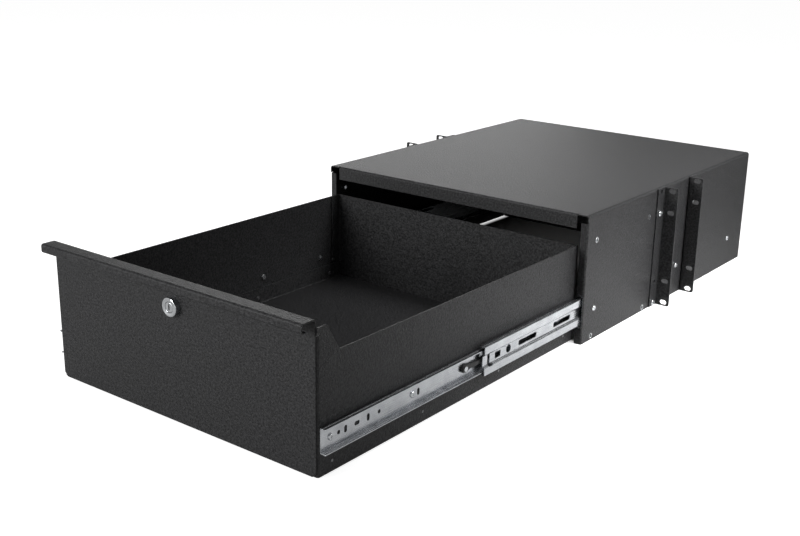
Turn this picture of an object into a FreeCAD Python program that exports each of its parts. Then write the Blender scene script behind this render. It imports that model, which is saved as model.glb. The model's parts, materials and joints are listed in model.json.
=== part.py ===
"""Sliding rack drawer, 4 rack units high, on three-member ball-bearing slides.

Frame: millimetres, +X to the right seen from the front, +Y to the rear, +Z up.  The origin is the
middle of the enclosure's front edge, at the height of its underside.  The drawer stands fully open.
Every sub-part is an object of one document, and its sizes are bound to the spreadsheet "sizes".
"""

import FreeCAD
import Part
import Sketcher
import math
import os
from types import SimpleNamespace
from FreeCAD import Placement, Rotation, Vector

SIZES = {
    # enclosure: top and two sides folded from one sheet
    "enclosure_width": 438.0,
    "enclosure_height": 176.0,
    "enclosure_depth": 521.0,
    "sheet": 1.5,
    "shell_bend": 4.0,
    "panel_bend": 3.0,
    "bend_relief": 1.0,
    "lip_drop": 19.0,
    "lip_inset": 17.0,
    "side_flange": 10.5,
    "side_flange_top": 165.0,
    "rear_flange": 16.0,
    "rear_foot": 40.0,
    # drawer box
    "travel": 500.0,
    "front_gap": 0.5,
    "front_overlap": 0.2,
    "drawer_underside": 4.0,
    "front_height": 170.0,
    "front_corner_cut": 5.0,
    "handle_reach": 19.0,
    "handle_drop": 11.0,
    "handle_return": 7.0,
    "side_height": 130.0,
    "tab_height": 31.0,
    "tab_length": 15.0,
    "tab_slope": 18.0,
    "tab_fillet": 5.0,
    "front_tongue": 14.0,
    "front_tongue_top": 156.0,
    "drawer_length": 502.8,
    "floor_rise": 2.0,
    "floor_flange": 24.0,
    "floor_corner_cut": 8.0,
    "rear_wall_flange": 20.0,
    "fit": 0.3,
    # rivets of the drawer box
    "rivet_radius": 1.6,
    "rivet_head_radius": 3.0,
    "rivet_head_height": 1.1,
    "rivet_height": 10.0,
    "rivet_from_front": 21.5,
    "rivet_pitch": 152.0,
    "rear_rivet_height": 29.8,
    "rear_rivet_inset": 17.3,
    # slides: cabinet member, middle member and drawer member
    "slide_thickness": 12.7,
    "slide_height": 45.0,
    "slide_centre": 44.5,
    "slide_window": 1.5,
    "rail_gauge": 1.2,
    "race_depth": 0.5,
    "race_half_width": 0.7,
    "ball_radius": 1.6,
    "ball_play": 0.1,
    "outer_race": 7.9,
    "inner_race": 4.5,
    "outer_hem": 4.4,
    "middle_back": 10.4,
    "middle_front": 1.6,
    "middle_recess": 2.3,
    "recess_half_height": 8.0,
    "recess_ramp": 3.0,
    "drawer_member_depth": 7.8,
    "cage_gauge": 0.45,
    "cage_gap": 0.35,
    "cage_margin": 4.0,
    "cage_window": 0.15,
    "cabinet_member_start": 2.0,
    "cabinet_member_rear_gap": 21.0,
    "middle_member_length": 468.0,
    "middle_member_reach": 222.0,
    "drawer_member_set_back": 2.5,
    "drawer_member_length": 503.0,
    # openings punched in the slides, measured along the slide from the member's front end
    "catch_window_at": 27.0,
    "catch_window_width": 5.0,
    "catch_window_height": 9.0,
    "tab_window_at": 47.0,
    "tab_window_length": 9.0,
    "tab_window_height": 6.0,
    "access_hole_at": 64.0,
    "access_hole_radius": 4.0,
    "access_slot_at": 98.0,
    "access_slot_length": 41.0,
    "access_slot_pitch": 82.0,
    "access_slot_height": 6.8,
    "access_slot_corner": 2.0,
    "punch_pitch": 18.0,
    "punch_width": 4.4,
    "punch_height": 8.0,
    "punch_corner": 1.3,
    # release lever on the drawer member
    "lever_at": 245.0,
    "lever_length": 62.0,
    "lever_half_width": 2.6,
    "lever_thickness": 3.0,
    "lever_play": 0.4,
    "lever_hub": 4.6,
    "lever_catch": 4.4,
    "lever_catch_length": 4.5,
    "pivot_radius": 1.5,
    "pivot_play": 0.2,
    "pivot_head_radius": 3.2,
    "pivot_head_height": 1.1,
    # screws of the slides
    "screw_radius": 2.0,
    "screw_play": 0.15,
    "screw_head_radius": 3.9,
    "screw_head_height": 1.8,
    "cabinet_screw_front": 28.5,
    "cabinet_screw_middle": 276.0,
    "cabinet_screw_from_end": 36.0,
    "drawer_screw_front": 15.0,
    "drawer_screw_second": 149.5,
    "drawer_screw_third": 335.0,
    "drawer_screw_rear": 455.0,
    "nut_radius": 3.8,
    "nut_height": 2.4,
    # movable rack ears, with the hole spacing of a 19-inch rack
    "rack_hole_span": 465.1,
    "rack_width": 482.6,
    "rack_hole_outer": 165.1,
    "rack_hole_inner": 101.6,
    "ear_thickness": 2.0,
    "ear_height": 175.0,
    "ear_bend": 3.0,
    "ear_leg": 20.0,
    "ear_corner": 1.5,
    "ear_slot_radius": 3.4,
    "ear_slot_length": 10.4,
    "front_ear_face": 214.0,
    "rear_ear_face": 298.0,
    "ear_screw_inset": 10.0,
    "ear_screw_radius": 2.4,
    "ear_hole_play": 0.35,
    "ear_screw_head_radius": 4.4,
    "ear_screw_head_height": 2.4,
    "ear_screw_length": 8.0,
    # rivet nuts in the enclosure sides
    "rivet_nut_radius": 4.2,
    "rivet_nut_length": 7.0,
    "rivet_nut_bore": 2.6,
    "spare_nut_front": 26.0,
    "spare_nut_second": 175.0,
    # cam lock
    "lock_height": 140.5,
    "lock_head_radius": 11.0,
    "lock_head_length": 7.0,
    "lock_head_chamfer": 1.2,
    "barrel_radius": 9.5,
    "barrel_length": 9.0,
    "plug_radius": 6.0,
    "plug_play": 0.2,
    "plug_recess": 0.5,
    "key_slot_width": 1.8,
    "key_slot_height": 7.0,
    "key_slot_depth": 5.0,
    "lock_nut_radius": 14.0,
    "lock_nut_height": 3.2,
    "cam_thickness": 2.0,
    "cam_half_width": 7.0,
    "cam_root": 8.0,
    "cam_bend_start": 12.0,
    "cam_crank": 4.0,
    "cam_tip": 32.0,
    "cam_corner": 3.5,
    "drive_half_width": 3.2,
    "cam_screw_radius": 2.0,
    "cam_screw_head_radius": 4.5,
    "cam_screw_head_height": 2.4,
    "cam_screw_length": 6.0,
}

SIDES = {"left": -1, "right": 1}
SMALL_SIDES = 8  # facets round a small screw, rivet or its hole
ROUND_SIDES = 24  # facets round the lock
HEX_SIDES = 6
BALLS_PER_ROW = 4
ALONG_Y = Vector(0, 1, 0)


class Size:
    """A length that keeps its number together with the spreadsheet expression that gives it."""

    def __init__(self, value, text):
        self.value = float(value)
        self.text = text

    @staticmethod
    def of(other):
        return other if isinstance(other, Size) else Size(other, repr(float(other)))

    def joined(self, sign, other, value):
        return Size(value, f"({self.text} {sign} {other.text})")

    def __add__(self, other):
        other = Size.of(other)
        return self.joined("+", other, self.value + other.value)

    def __sub__(self, other):
        other = Size.of(other)
        return self.joined("-", other, self.value - other.value)

    def __mul__(self, other):
        other = Size.of(other)
        return self.joined("*", other, self.value * other.value)

    def __truediv__(self, other):
        other = Size.of(other)
        return self.joined("/", other, self.value / other.value)

    def __radd__(self, other):
        return Size.of(other) + self

    def __rsub__(self, other):
        return Size.of(other) - self

    def __rmul__(self, other):
        return Size.of(other) * self

    def __neg__(self):
        return Size(-self.value, f"(0 - {self.text})")


doc = FreeCAD.newDocument("rack_drawer")
table = doc.addObject("Spreadsheet::Sheet", "sizes")
for row, (alias, number) in enumerate(SIZES.items(), start=1):
    table.set(f"A{row}", alias)
    table.set(f"B{row}", str(number))
    table.setAlias(f"B{row}", alias)
doc.recompute()
d = SimpleNamespace(**{alias: Size(number, f"sizes.{alias}") for alias, number in SIZES.items()})

nodes = []


# ---------------------------------------------------------------- document helpers


def bind(thing, **lengths):
    """Set properties of an object and bind them to their expressions."""
    for name, length in lengths.items():
        length = Size.of(length)
        setattr(thing, name, length.value)
        thing.setExpression(name, length.text)


def place(thing, x=0, y=0, z=0, rotation=None):
    """Put an object at a point whose three coordinates are bound to the sheet."""
    point = [Size.of(v) for v in (x, y, z)]
    thing.Placement = Placement(Vector(*(v.value for v in point)), rotation or Rotation())
    for axis, v in zip("xyz", point):
        thing.setExpression(f"Placement.Base.{axis}", v.text)


def node(thing, label):
    """Name a finished sub-part and put it on the list of files to write."""
    thing.Label = label
    nodes.append(thing)
    return thing


def new_body(name):
    return doc.addObject("PartDesign::Body", name)


def new_sketch(body, name, role, offset=0):
    """A sketch on one of the body's own origin planes, moved along that plane's normal."""
    sketch = body.newObject("Sketcher::SketchObject", name)
    planes = [f for f in body.Origin.OriginFeatures if f.Role == role]
    sketch.AttachmentSupport = [(planes[0], "")]
    sketch.MapMode = "FlatFace"
    offset = Size.of(offset)
    sketch.AttachmentOffset = Placement(Vector(0, 0, offset.value), Rotation())
    sketch.setExpression("AttachmentOffset.Base.z", offset.text)
    return sketch


def pad(body, sketch, length, name, backwards=False, both_ways=False):
    feature = body.newObject("PartDesign::Pad", name)
    feature.Profile = sketch
    bind(feature, Length=length)
    feature.Reversed = backwards
    feature.Midplane = both_ways
    doc.recompute()
    return feature


def pocket(body, sketch, length, name, backwards=False, both_ways=False):
    feature = body.newObject("PartDesign::Pocket", name)
    feature.Profile = sketch
    bind(feature, Length=length)
    feature.Reversed = backwards
    feature.Midplane = both_ways
    doc.recompute()
    return feature


def edges_where(shape, test, along=None):
    """Names of the straight edges whose ends both pass the test, and that run along a direction."""
    found = []
    for number, edge in enumerate(shape.Edges, start=1):
        ends = [v.Point for v in edge.Vertexes]
        if len(ends) != 2 or not all(test(p) for p in ends):
            continue
        if along is None or (ends[1] - ends[0]).cross(along).Length < 1e-6:
            found.append(f"Edge{number}")
    return found


def dress(body, kind, base, test, size, name, along=None):
    """Fillet or chamfer the edges of the last feature that pass the test."""
    feature = body.newObject(f"PartDesign::{kind}", name)
    feature.Base = (base, edges_where(base.Shape, test, along))
    bind(feature, **{"Radius" if kind == "Fillet" else "Size": size})
    doc.recompute()
    return feature


# ---------------------------------------------------------------- sketch helpers


def pin_point(sketch, constraints, texts, index, position, x, y):
    """Constraints that hold one point of a sketch at bound coordinates."""
    for kind, length in (("DistanceX", x), ("DistanceY", y)):
        texts[len(constraints)] = length.text
        constraints.append(Sketcher.Constraint(kind, -1, 1, index, position, length.value))


def finish_sketch(sketch, constraints, texts):
    start = sketch.ConstraintCount
    sketch.addConstraint(constraints)
    for number, text in texts.items():
        sketch.setExpression(f"Constraints[{start + number}]", text)


def outline(sketch, corners):
    """A closed outline through corners (x, y) or (x, y, radius); a radius rounds its corner."""
    points = [(Size.of(c[0]), Size.of(c[1]), Size.of(c[2]) if len(c) > 2 else None) for c in corners]
    spots = [Vector(x.value, y.value, 0) for x, y, _ in points]
    count = len(points)
    starts = []
    ends = []
    for i, (_, _, radius) in enumerate(points):
        before = (spots[i - 1] - spots[i]).normalize()
        after = (spots[(i + 1) % count] - spots[i]).normalize()
        back = 0.0
        if radius is not None:
            back = radius.value / math.tan(before.getAngle(after) / 2)
        ends.append(spots[i] + before * back)
        starts.append(spots[i] + after * back)
    first = sketch.GeometryCount
    lines = [Part.LineSegment(starts[i], ends[(i + 1) % count]) for i in range(count)]
    sketch.addGeometry(lines, False)
    constraints = []
    texts = {}
    for i, (x, y, radius) in enumerate(points):
        line_in = first + (i - 1) % count
        line_out = first + i
        if radius is None:
            constraints.append(Sketcher.Constraint("Coincident", line_in, 2, line_out, 1))
            pin_point(sketch, constraints, texts, line_out, 1, x, y)
            continue
        before = (spots[i - 1] - spots[i]).normalize()
        after = (spots[(i + 1) % count] - spots[i]).normalize()
        toward = (before + after).normalize()
        centre = spots[i] + toward * (radius.value / math.sin(before.getAngle(after) / 2))
        middle = centre - toward * radius.value
        arc = sketch.addGeometry(Part.Arc(ends[i], middle, starts[i]), False)
        from_end = (sketch.getPoint(arc, 1) - ends[i]).Length < (sketch.getPoint(arc, 1) - starts[i]).Length
        arc_in, arc_out = (1, 2) if from_end else (2, 1)
        corner = sketch.addGeometry(Part.Point(spots[i]), True)
        constraints.append(Sketcher.Constraint("Tangent", line_in, 2, arc, arc_in))
        constraints.append(Sketcher.Constraint("Tangent", arc, arc_out, line_out, 1))
        constraints.append(Sketcher.Constraint("PointOnObject", corner, 1, line_in))
        constraints.append(Sketcher.Constraint("PointOnObject", corner, 1, line_out))
        pin_point(sketch, constraints, texts, corner, 1, x, y)
        texts[len(constraints)] = radius.text
        constraints.append(Sketcher.Constraint("Radius", arc, radius.value))
    finish_sketch(sketch, constraints, texts)


def rectangle(sketch, x_low, x_high, y_low, y_high):
    outline(sketch, [(x_low, y_low), (x_high, y_low), (x_high, y_high), (x_low, y_high)])


def circle(sketch, x, y, radius):
    x, y, radius = Size.of(x), Size.of(y), Size.of(radius)
    centre = Vector(x.value, y.value, 0)
    ring = sketch.addGeometry(Part.Circle(centre, Vector(0, 0, 1), radius.value), False)
    constraints = []
    texts = {}
    pin_point(sketch, constraints, texts, ring, 3, x, y)
    texts[len(constraints)] = radius.text
    constraints.append(Sketcher.Constraint("Radius", ring, radius.value))
    finish_sketch(sketch, constraints, texts)


def slot(sketch, x, y, length, radius):
    """A slot with round ends, lying along the sketch's X axis."""
    x, y, radius = Size.of(x), Size.of(y), Size.of(radius)
    reach = length / 2 - radius
    up = Vector(0, radius.value, 0)
    left = Vector(x.value - reach.value, y.value, 0)
    right = Vector(x.value + reach.value, y.value, 0)
    bow = Vector(radius.value, 0, 0)
    parts = [
        Part.LineSegment(left + up, right + up),
        Part.Arc(right + up, right + bow, right - up),
        Part.LineSegment(right - up, left - up),
        Part.Arc(left - up, left - bow, left + up),
    ]
    top = sketch.addGeometry(parts, False)[0]
    end, bottom, start = top + 1, top + 2, top + 3
    constraints = [
        Sketcher.Constraint("Tangent", top, 2, end, 2),
        Sketcher.Constraint("Tangent", end, 1, bottom, 1),
        Sketcher.Constraint("Tangent", bottom, 2, start, 2),
        Sketcher.Constraint("Tangent", start, 1, top, 1),
        Sketcher.Constraint("Horizontal", top),
    ]
    texts = {}
    pin_point(sketch, constraints, texts, end, 3, x + reach, y)
    texts[len(constraints)] = (x - reach).text
    constraints.append(Sketcher.Constraint("DistanceX", -1, 1, start, 3, (x - reach).value))
    texts[len(constraints)] = radius.text
    constraints.append(Sketcher.Constraint("Radius", end, radius.value))
    finish_sketch(sketch, constraints, texts)


# ---------------------------------------------------------------- primitives and groups


def prism(name, sides, radius, length, at, toward):
    """A straight prism from the point at, in the direction toward."""
    thing = doc.addObject("Part::Prism", name)
    thing.Polygon = sides
    bind(thing, Circumradius=radius, Height=length)
    place(thing, *at, rotation=Rotation(Vector(0, 0, 1), Vector(*toward)))
    return thing


def cylinder(name, radius, length, at, toward):
    """A round pin or bore from the point at, in the direction toward."""
    thing = doc.addObject("Part::Cylinder", name)
    bind(thing, Radius=radius, Height=length)
    place(thing, *at, rotation=Rotation(Vector(0, 0, 1), Vector(*toward)))
    return thing


def cut(name, base, tools):
    """Take a group of tools away from a base."""
    group = doc.addObject("Part::Compound", f"{name}_tools")
    group.Links = tools
    result = doc.addObject("Part::Cut", name)
    result.Base = base
    result.Tool = group
    return result


def fuse(name, pieces):
    result = doc.addObject("Part::MultiFuse", name)
    result.Shapes = pieces
    return result


def headed_pins(name, radius, head_radius, head_height, length, points, toward, sides=SMALL_SIDES):
    """Screws or rivets: each head sits on a point, its shank runs in the direction toward."""
    pieces = []
    away = tuple(-v for v in toward)
    for number, point in enumerate(points):
        head = prism(f"{name}_head_{number}", sides, head_radius, head_height, point, away)
        shank = prism(f"{name}_shank_{number}", sides, radius, length, point, toward)
        pieces += [head, shank]
    return fuse(name, pieces)


# ---------------------------------------------------------------- shared places

half_width = d.enclosure_width / 2
wall_inside = half_width - d.sheet
drawer_half_width = wall_inside - d.slide_thickness
drawer_inside = drawer_half_width - d.sheet
front_back = -(d.travel + d.front_gap)
front_face = front_back - d.sheet
drawer_rear = front_back + d.drawer_length
floor_under = d.drawer_underside + d.floor_rise
floor_top = floor_under + d.sheet
floor_flange_top = floor_under + d.floor_flange
side_top = d.drawer_underside + d.side_height
rivet_z = floor_under + d.rivet_height
rivet_ys = [front_back + d.rivet_from_front + d.rivet_pitch * n for n in range(4)]
inner_bend = d.panel_bend - d.sheet
bend_reach = d.panel_bend + d.bend_relief
rack_middle = d.enclosure_height / 2
rack_rows = [
    rack_middle - d.rack_hole_outer / 2,
    rack_middle - d.rack_hole_inner / 2,
    rack_middle + d.rack_hole_inner / 2,
    rack_middle + d.rack_hole_outer / 2,
]
nut_rows = [rack_rows[0], rack_rows[2]]
front_ear_column = d.front_ear_face - d.ear_screw_inset
rear_ear_column = d.rear_ear_face + d.ear_screw_inset
ear_columns = [front_ear_column, rear_ear_column]
nut_columns = [d.spare_nut_front, d.spare_nut_second, front_ear_column, rear_ear_column]
cabinet_member_end = d.enclosure_depth - d.cabinet_member_rear_gap
cabinet_screw_ys = [d.cabinet_screw_front, d.cabinet_screw_middle, cabinet_member_end - d.cabinet_screw_from_end]


# ---------------------------------------------------------------- enclosure


def enclosure_shell():
    """Top and two sides in one folded sheet, with front side flanges and a front lip."""
    body = new_body("enclosure_shell_blank")
    section = new_sketch(body, "shell_section", "XZ_Plane")
    under_top = d.enclosure_height - d.sheet
    bend_in = d.shell_bend - d.sheet
    outline(section, [
        (-half_width, 0),
        (-half_width, d.enclosure_height, d.shell_bend),
        (half_width, d.enclosure_height, d.shell_bend),
        (half_width, 0),
        (wall_inside, 0),
        (wall_inside, under_top, bend_in),
        (-wall_inside, under_top, bend_in),
        (-wall_inside, 0),
    ])
    pad(body, section, d.enclosure_depth, "shell_pad", backwards=True)

    lip_half = half_width - d.lip_inset
    relief = new_sketch(body, "bend_reliefs", "XZ_Plane")
    for side in SIDES.values():
        low = 0 - d.bend_relief
        high = d.side_flange_top + d.bend_relief
        edges = sorted([side * (wall_inside - d.bend_relief), side * (half_width + d.bend_relief)],
                       key=lambda v: v.value)
        rectangle(relief, edges[0], edges[1], low, high)
    rectangle(relief, -(lip_half + d.bend_relief), lip_half + d.bend_relief,
              under_top - d.bend_relief, d.enclosure_height + d.bend_relief)
    pocket(body, relief, bend_reach, "relief_pocket")

    flanges = new_sketch(body, "flange_sections", "XY_Plane")
    for side in SIDES.values():
        outline(flanges, [
            (side * (half_width - d.side_flange), 0),
            (side * half_width, 0, d.panel_bend),
            (side * half_width, bend_reach),
            (side * wall_inside, bend_reach),
            (side * wall_inside, d.sheet, inner_bend),
            (side * (half_width - d.side_flange), d.sheet),
        ])
    pad(body, flanges, d.side_flange_top, "flange_pad")

    lip = new_sketch(body, "lip_section", "YZ_Plane")
    outline(lip, [
        (0, d.enclosure_height - d.lip_drop),
        (0, d.enclosure_height, d.panel_bend),
        (bend_reach, d.enclosure_height),
        (bend_reach, under_top),
        (d.sheet, under_top, inner_bend),
        (d.sheet, d.enclosure_height - d.lip_drop),
    ])
    pad(body, lip, 2 * lip_half, "lip_pad", both_ways=True)

    window = new_sketch(body, "slide_windows", "XZ_Plane")
    reach = d.slide_height / 2 + d.slide_window
    for side in SIDES.values():
        edges = sorted([side * (half_width - d.side_flange - d.bend_relief), side * wall_inside],
                       key=lambda v: v.value)
        rectangle(window, edges[0], edges[1], d.slide_centre - reach, d.slide_centre + reach)
    pocket(body, window, bend_reach, "window_pocket")

    tools = []
    for name, side in SIDES.items():
        start = side * (wall_inside - d.bend_relief)
        depth = d.sheet + 2 * d.bend_relief
        for row, z in enumerate(nut_rows):
            for column, y in enumerate(nut_columns):
                label = f"{name}_nut_hole_{row}{column}"
                tools.append(prism(label, HEX_SIDES, d.rivet_nut_radius, depth, (start, y, z), (side, 0, 0)))
        for number, y in enumerate(cabinet_screw_ys):
            label = f"{name}_slide_hole_{number}"
            radius = d.screw_radius + d.screw_play
            tools.append(prism(label, SMALL_SIDES, radius, depth, (start, y, d.slide_centre), (side, 0, 0)))
    node(cut("enclosure_shell_cut", body, tools), "enclosure_shell")


def enclosure_rear_panel():
    """Rear panel: a shallow pan set in the shell, with a deeper foot along its lower edge."""
    body = new_body("enclosure_rear_panel_body")
    top = d.enclosure_height - d.sheet
    corner = d.shell_bend - d.sheet
    block = new_sketch(body, "pan_block", "XZ_Plane", -d.enclosure_depth)
    outline(block, [(-wall_inside, 0), (wall_inside, 0), (wall_inside, top, corner), (-wall_inside, top, corner)])
    pad(body, block, d.rear_flange, "pan_pad")
    hollow = new_sketch(body, "pan_hollow", "XZ_Plane", d.rear_flange - d.enclosure_depth)
    rectangle(hollow, d.sheet - wall_inside, wall_inside - d.sheet, d.sheet, top - d.sheet)
    pocket(body, hollow, d.rear_flange - d.sheet, "pan_pocket")
    foot = new_sketch(body, "foot_section", "XZ_Plane", d.rear_flange - d.enclosure_depth)
    rectangle(foot, d.sheet - wall_inside, wall_inside - d.sheet, 0, d.sheet)
    last = pad(body, foot, d.rear_foot - d.rear_flange, "foot_pad")

    def on_rear_edge(p):
        return abs(p.y - d.enclosure_depth.value) < 1e-6

    dress(body, "Fillet", last, on_rear_edge, inner_bend, "rear_bends")
    node(body, "enclosure_rear_panel")


def rivet_nuts(name, side):
    """Hexagonal rivet nuts that take the rack ears' screws, pressed in the enclosure side."""
    barrels = []
    bores = []
    for row, z in enumerate(nut_rows):
        for column, y in enumerate(nut_columns):
            at = (side * half_width, y, z)
            inward = (-side, 0, 0)
            key = f"{name}_{row}{column}"
            barrels.append(prism(f"nut_barrel_{key}", HEX_SIDES, d.rivet_nut_radius, d.rivet_nut_length, at, inward))
            bores.append(prism(f"nut_bore_{key}", SMALL_SIDES, d.rivet_nut_bore, d.rivet_nut_length, at, inward))
    node(cut(f"{name}_nuts_cut", fuse(f"{name}_nut_barrels", barrels), bores), f"{name}_rivet_nuts")


def rack_ear(name, side, place_name, face, rearward):
    """An L-shaped ear: one leg lies on the enclosure side, the other carries the rack slots."""
    label = f"{name}_{place_name}_rack_ear"
    body = new_body(f"{label}_body")
    edge = d.rack_width / 2
    back = face - d.ear_thickness * rearward
    leg_end = face + d.ear_leg * rearward
    bend_in = d.ear_bend - d.ear_thickness
    leg_face = half_width + d.ear_thickness
    section = new_sketch(body, f"{label}_section", "XY_Plane", rack_middle - d.ear_height / 2)
    outline(section, [
        (side * half_width, leg_end),
        (side * half_width, back, d.ear_bend),
        (side * edge, back),
        (side * edge, face),
        (side * leg_face, face, bend_in),
        (side * leg_face, leg_end),
    ])
    last = pad(body, section, d.ear_height, f"{label}_pad")

    def on_outer_corner(p):
        reach = abs(abs(p.z - rack_middle.value) - d.ear_height.value / 2)
        return reach < 1e-6 and abs(abs(p.x) - edge.value) < 1e-6

    dress(body, "Chamfer", last, on_outer_corner, d.ear_corner, f"{label}_corners", ALONG_Y)
    slots = new_sketch(body, f"{label}_slots", "XZ_Plane")
    for z in rack_rows:
        slot(slots, side * d.rack_hole_span / 2, z, d.ear_slot_length, d.ear_slot_radius)
    pocket(body, slots, 2 * (d.rear_ear_face + d.ear_leg), f"{label}_slot_pocket", both_ways=True)
    column = face + d.ear_screw_inset * rearward
    tools = []
    for number, z in enumerate(rack_rows):
        at = (side * (half_width - d.bend_relief), column, z)
        radius = d.ear_screw_radius + d.ear_hole_play
        depth = d.ear_thickness + 2 * d.bend_relief
        tools.append(prism(f"{label}_hole_{number}", SMALL_SIDES, radius, depth, at, (side, 0, 0)))
    node(cut(f"{label}_cut", body, tools), label)


def rack_ear_screws(name, side):
    points = [(side * (half_width + d.ear_thickness), y, z) for y in ear_columns for z in nut_rows]
    screws = headed_pins(f"{name}_ear_screw_group", d.ear_screw_radius, d.ear_screw_head_radius,
                         d.ear_screw_head_height, d.ear_screw_length, points, (-side, 0, 0))
    node(screws, f"{name}_rack_ear_screws")


# ---------------------------------------------------------------- drawer box


def drawer_front():
    """Front panel folded over at the top into a full-width pull handle."""
    body = new_body("drawer_front_body")
    top = d.drawer_underside + d.front_height
    handle = front_face - d.handle_reach
    handle_low = top - d.handle_drop
    section = new_sketch(body, "front_section", "YZ_Plane")
    outline(section, [
        (front_back, d.drawer_underside),
        (front_back, top, d.panel_bend),
        (handle, top, d.panel_bend),
        (handle, handle_low, d.panel_bend),
        (handle + d.handle_return, handle_low),
        (handle + d.handle_return, handle_low + d.sheet),
        (handle + d.sheet, handle_low + d.sheet, inner_bend),
        (handle + d.sheet, top - d.sheet, inner_bend),
        (front_face, top - d.sheet, inner_bend),
        (front_face, d.drawer_underside),
    ])
    half = drawer_half_width + d.front_overlap
    pad(body, section, 2 * half, "front_pad", both_ways=True)
    cuts = new_sketch(body, "front_corner_cuts", "XZ_Plane", -front_face)
    low = d.drawer_underside
    for side in SIDES.values():
        outline(cuts, [(side * half, low), (side * half, low + d.front_corner_cut),
                       (side * (half - d.front_corner_cut), low)])
    pocket(body, cuts, d.sheet, "front_corner_pocket")
    hole = new_sketch(body, "lock_hole", "XZ_Plane")
    circle(hole, 0, d.lock_height, d.barrel_radius + d.plug_play)
    pocket(body, hole, -front_face + d.bend_relief, "lock_hole_pocket", backwards=True)
    node(body, "drawer_front")


def drawer_side(name, side):
    """Drawer side wall, with a raised tab behind the front and a tongue welded to the front's back."""
    body = new_body(f"{name}_drawer_side_blank")
    tab_top = side_top + d.tab_height
    offset = side * drawer_half_width
    wall = new_sketch(body, f"{name}_wall", "YZ_Plane", offset)
    tab_end = front_back + d.tab_length
    above_tongue = d.front_tongue_top + d.bend_relief
    outline(wall, [
        (front_back + bend_reach, d.drawer_underside),
        (drawer_rear, d.drawer_underside),
        (drawer_rear, side_top),
        (tab_end + d.tab_slope, side_top, d.tab_fillet),
        (tab_end, tab_top, d.tab_fillet),
        (front_back, tab_top),
        (front_back, above_tongue),
        (front_back + bend_reach, above_tongue),
    ])
    pad(body, wall, d.sheet, f"{name}_wall_pad", backwards=side > 0)
    tongue = new_sketch(body, f"{name}_tongue", "XY_Plane", d.drawer_underside)
    outline(tongue, [
        (side * (drawer_half_width - d.front_tongue), front_back),
        (side * drawer_half_width, front_back, d.panel_bend),
        (side * drawer_half_width, front_back + bend_reach),
        (side * drawer_inside, front_back + bend_reach),
        (side * drawer_inside, front_back + d.sheet, inner_bend),
        (side * (drawer_half_width - d.front_tongue), front_back + d.sheet),
    ])
    pad(body, tongue, d.front_tongue_top - d.drawer_underside, f"{name}_tongue_pad")
    tools = []
    start = side * (drawer_inside - d.bend_relief)
    depth = d.sheet + 2 * d.bend_relief
    points = [(y, rivet_z, d.rivet_radius) for y in rivet_ys]
    points.append((drawer_rear - d.rear_rivet_inset, floor_under + d.rear_rivet_height, d.rivet_radius))
    points += [(y, d.slide_centre, d.screw_radius + d.screw_play) for y in drawer_screw_ys]
    for number, (y, z, radius) in enumerate(points):
        tools.append(prism(f"{name}_side_hole_{number}", SMALL_SIDES, radius, depth, (start, y, z), (side, 0, 0)))
    node(cut(f"{name}_drawer_side_cut", body, tools), f"{name}_drawer_side")


def drawer_floor():
    """Floor pan with a flange turned up along each side wall."""
    body = new_body("drawer_floor_blank")
    start = front_back + d.panel_bend
    section = new_sketch(body, "floor_section", "XZ_Plane", -start)
    inside = drawer_inside - d.sheet
    outline(section, [
        (-drawer_inside, floor_flange_top),
        (-drawer_inside, floor_under, d.panel_bend),
        (drawer_inside, floor_under, d.panel_bend),
        (drawer_inside, floor_flange_top),
        (inside, floor_flange_top),
        (inside, floor_top, inner_bend),
        (-inside, floor_top, inner_bend),
        (-inside, floor_flange_top),
    ])
    last = pad(body, section, drawer_rear - start, "floor_pad", backwards=True)

    def on_rear_top(p):
        return abs(p.y - drawer_rear.value) < 1e-6 and abs(p.z - floor_flange_top.value) < 1e-6

    dress(body, "Chamfer", last, on_rear_top, d.floor_corner_cut, "floor_corner_cuts")
    tools = []
    for name, side in SIDES.items():
        at_x = side * (inside - d.bend_relief)
        depth = d.sheet + 2 * d.bend_relief
        for number, y in enumerate(rivet_ys):
            label = f"{name}_floor_hole_{number}"
            tools.append(prism(label, SMALL_SIDES, d.rivet_radius, depth, (at_x, y, rivet_z), (side, 0, 0)))
    node(cut("drawer_floor_cut", body, tools), "drawer_floor")


def drawer_rear_wall():
    """Rear wall between the sides, with flanges turned forward above the floor's own flanges."""
    body = new_body("drawer_rear_wall_blank")
    low = floor_flange_top + d.sheet
    inside = drawer_inside - d.sheet
    front = drawer_rear - d.rear_wall_flange
    section = new_sketch(body, "rear_wall_section", "XY_Plane", low)
    outline(section, [
        (-drawer_inside, front),
        (-drawer_inside, drawer_rear, d.panel_bend),
        (drawer_inside, drawer_rear, d.panel_bend),
        (drawer_inside, front),
        (inside, front),
        (inside, drawer_rear - d.sheet, inner_bend),
        (-inside, drawer_rear - d.sheet, inner_bend),
        (-inside, front),
    ])
    pad(body, section, side_top - low, "rear_wall_pad")
    skirt = new_sketch(body, "rear_wall_skirt", "XY_Plane", floor_top)
    half = inside - inner_bend
    rectangle(skirt, -half, half, drawer_rear - d.sheet, drawer_rear)
    pad(body, skirt, low - floor_top, "rear_wall_skirt_pad")
    tools = []
    for name, side in SIDES.items():
        at = (side * (inside - d.bend_relief), drawer_rear - d.rear_rivet_inset, floor_under + d.rear_rivet_height)
        depth = d.sheet + 2 * d.bend_relief
        tools.append(prism(f"{name}_rear_hole", SMALL_SIDES, d.rivet_radius, depth, at, (side, 0, 0)))
    node(cut("drawer_rear_wall_cut", body, tools), "drawer_rear_wall")


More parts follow.
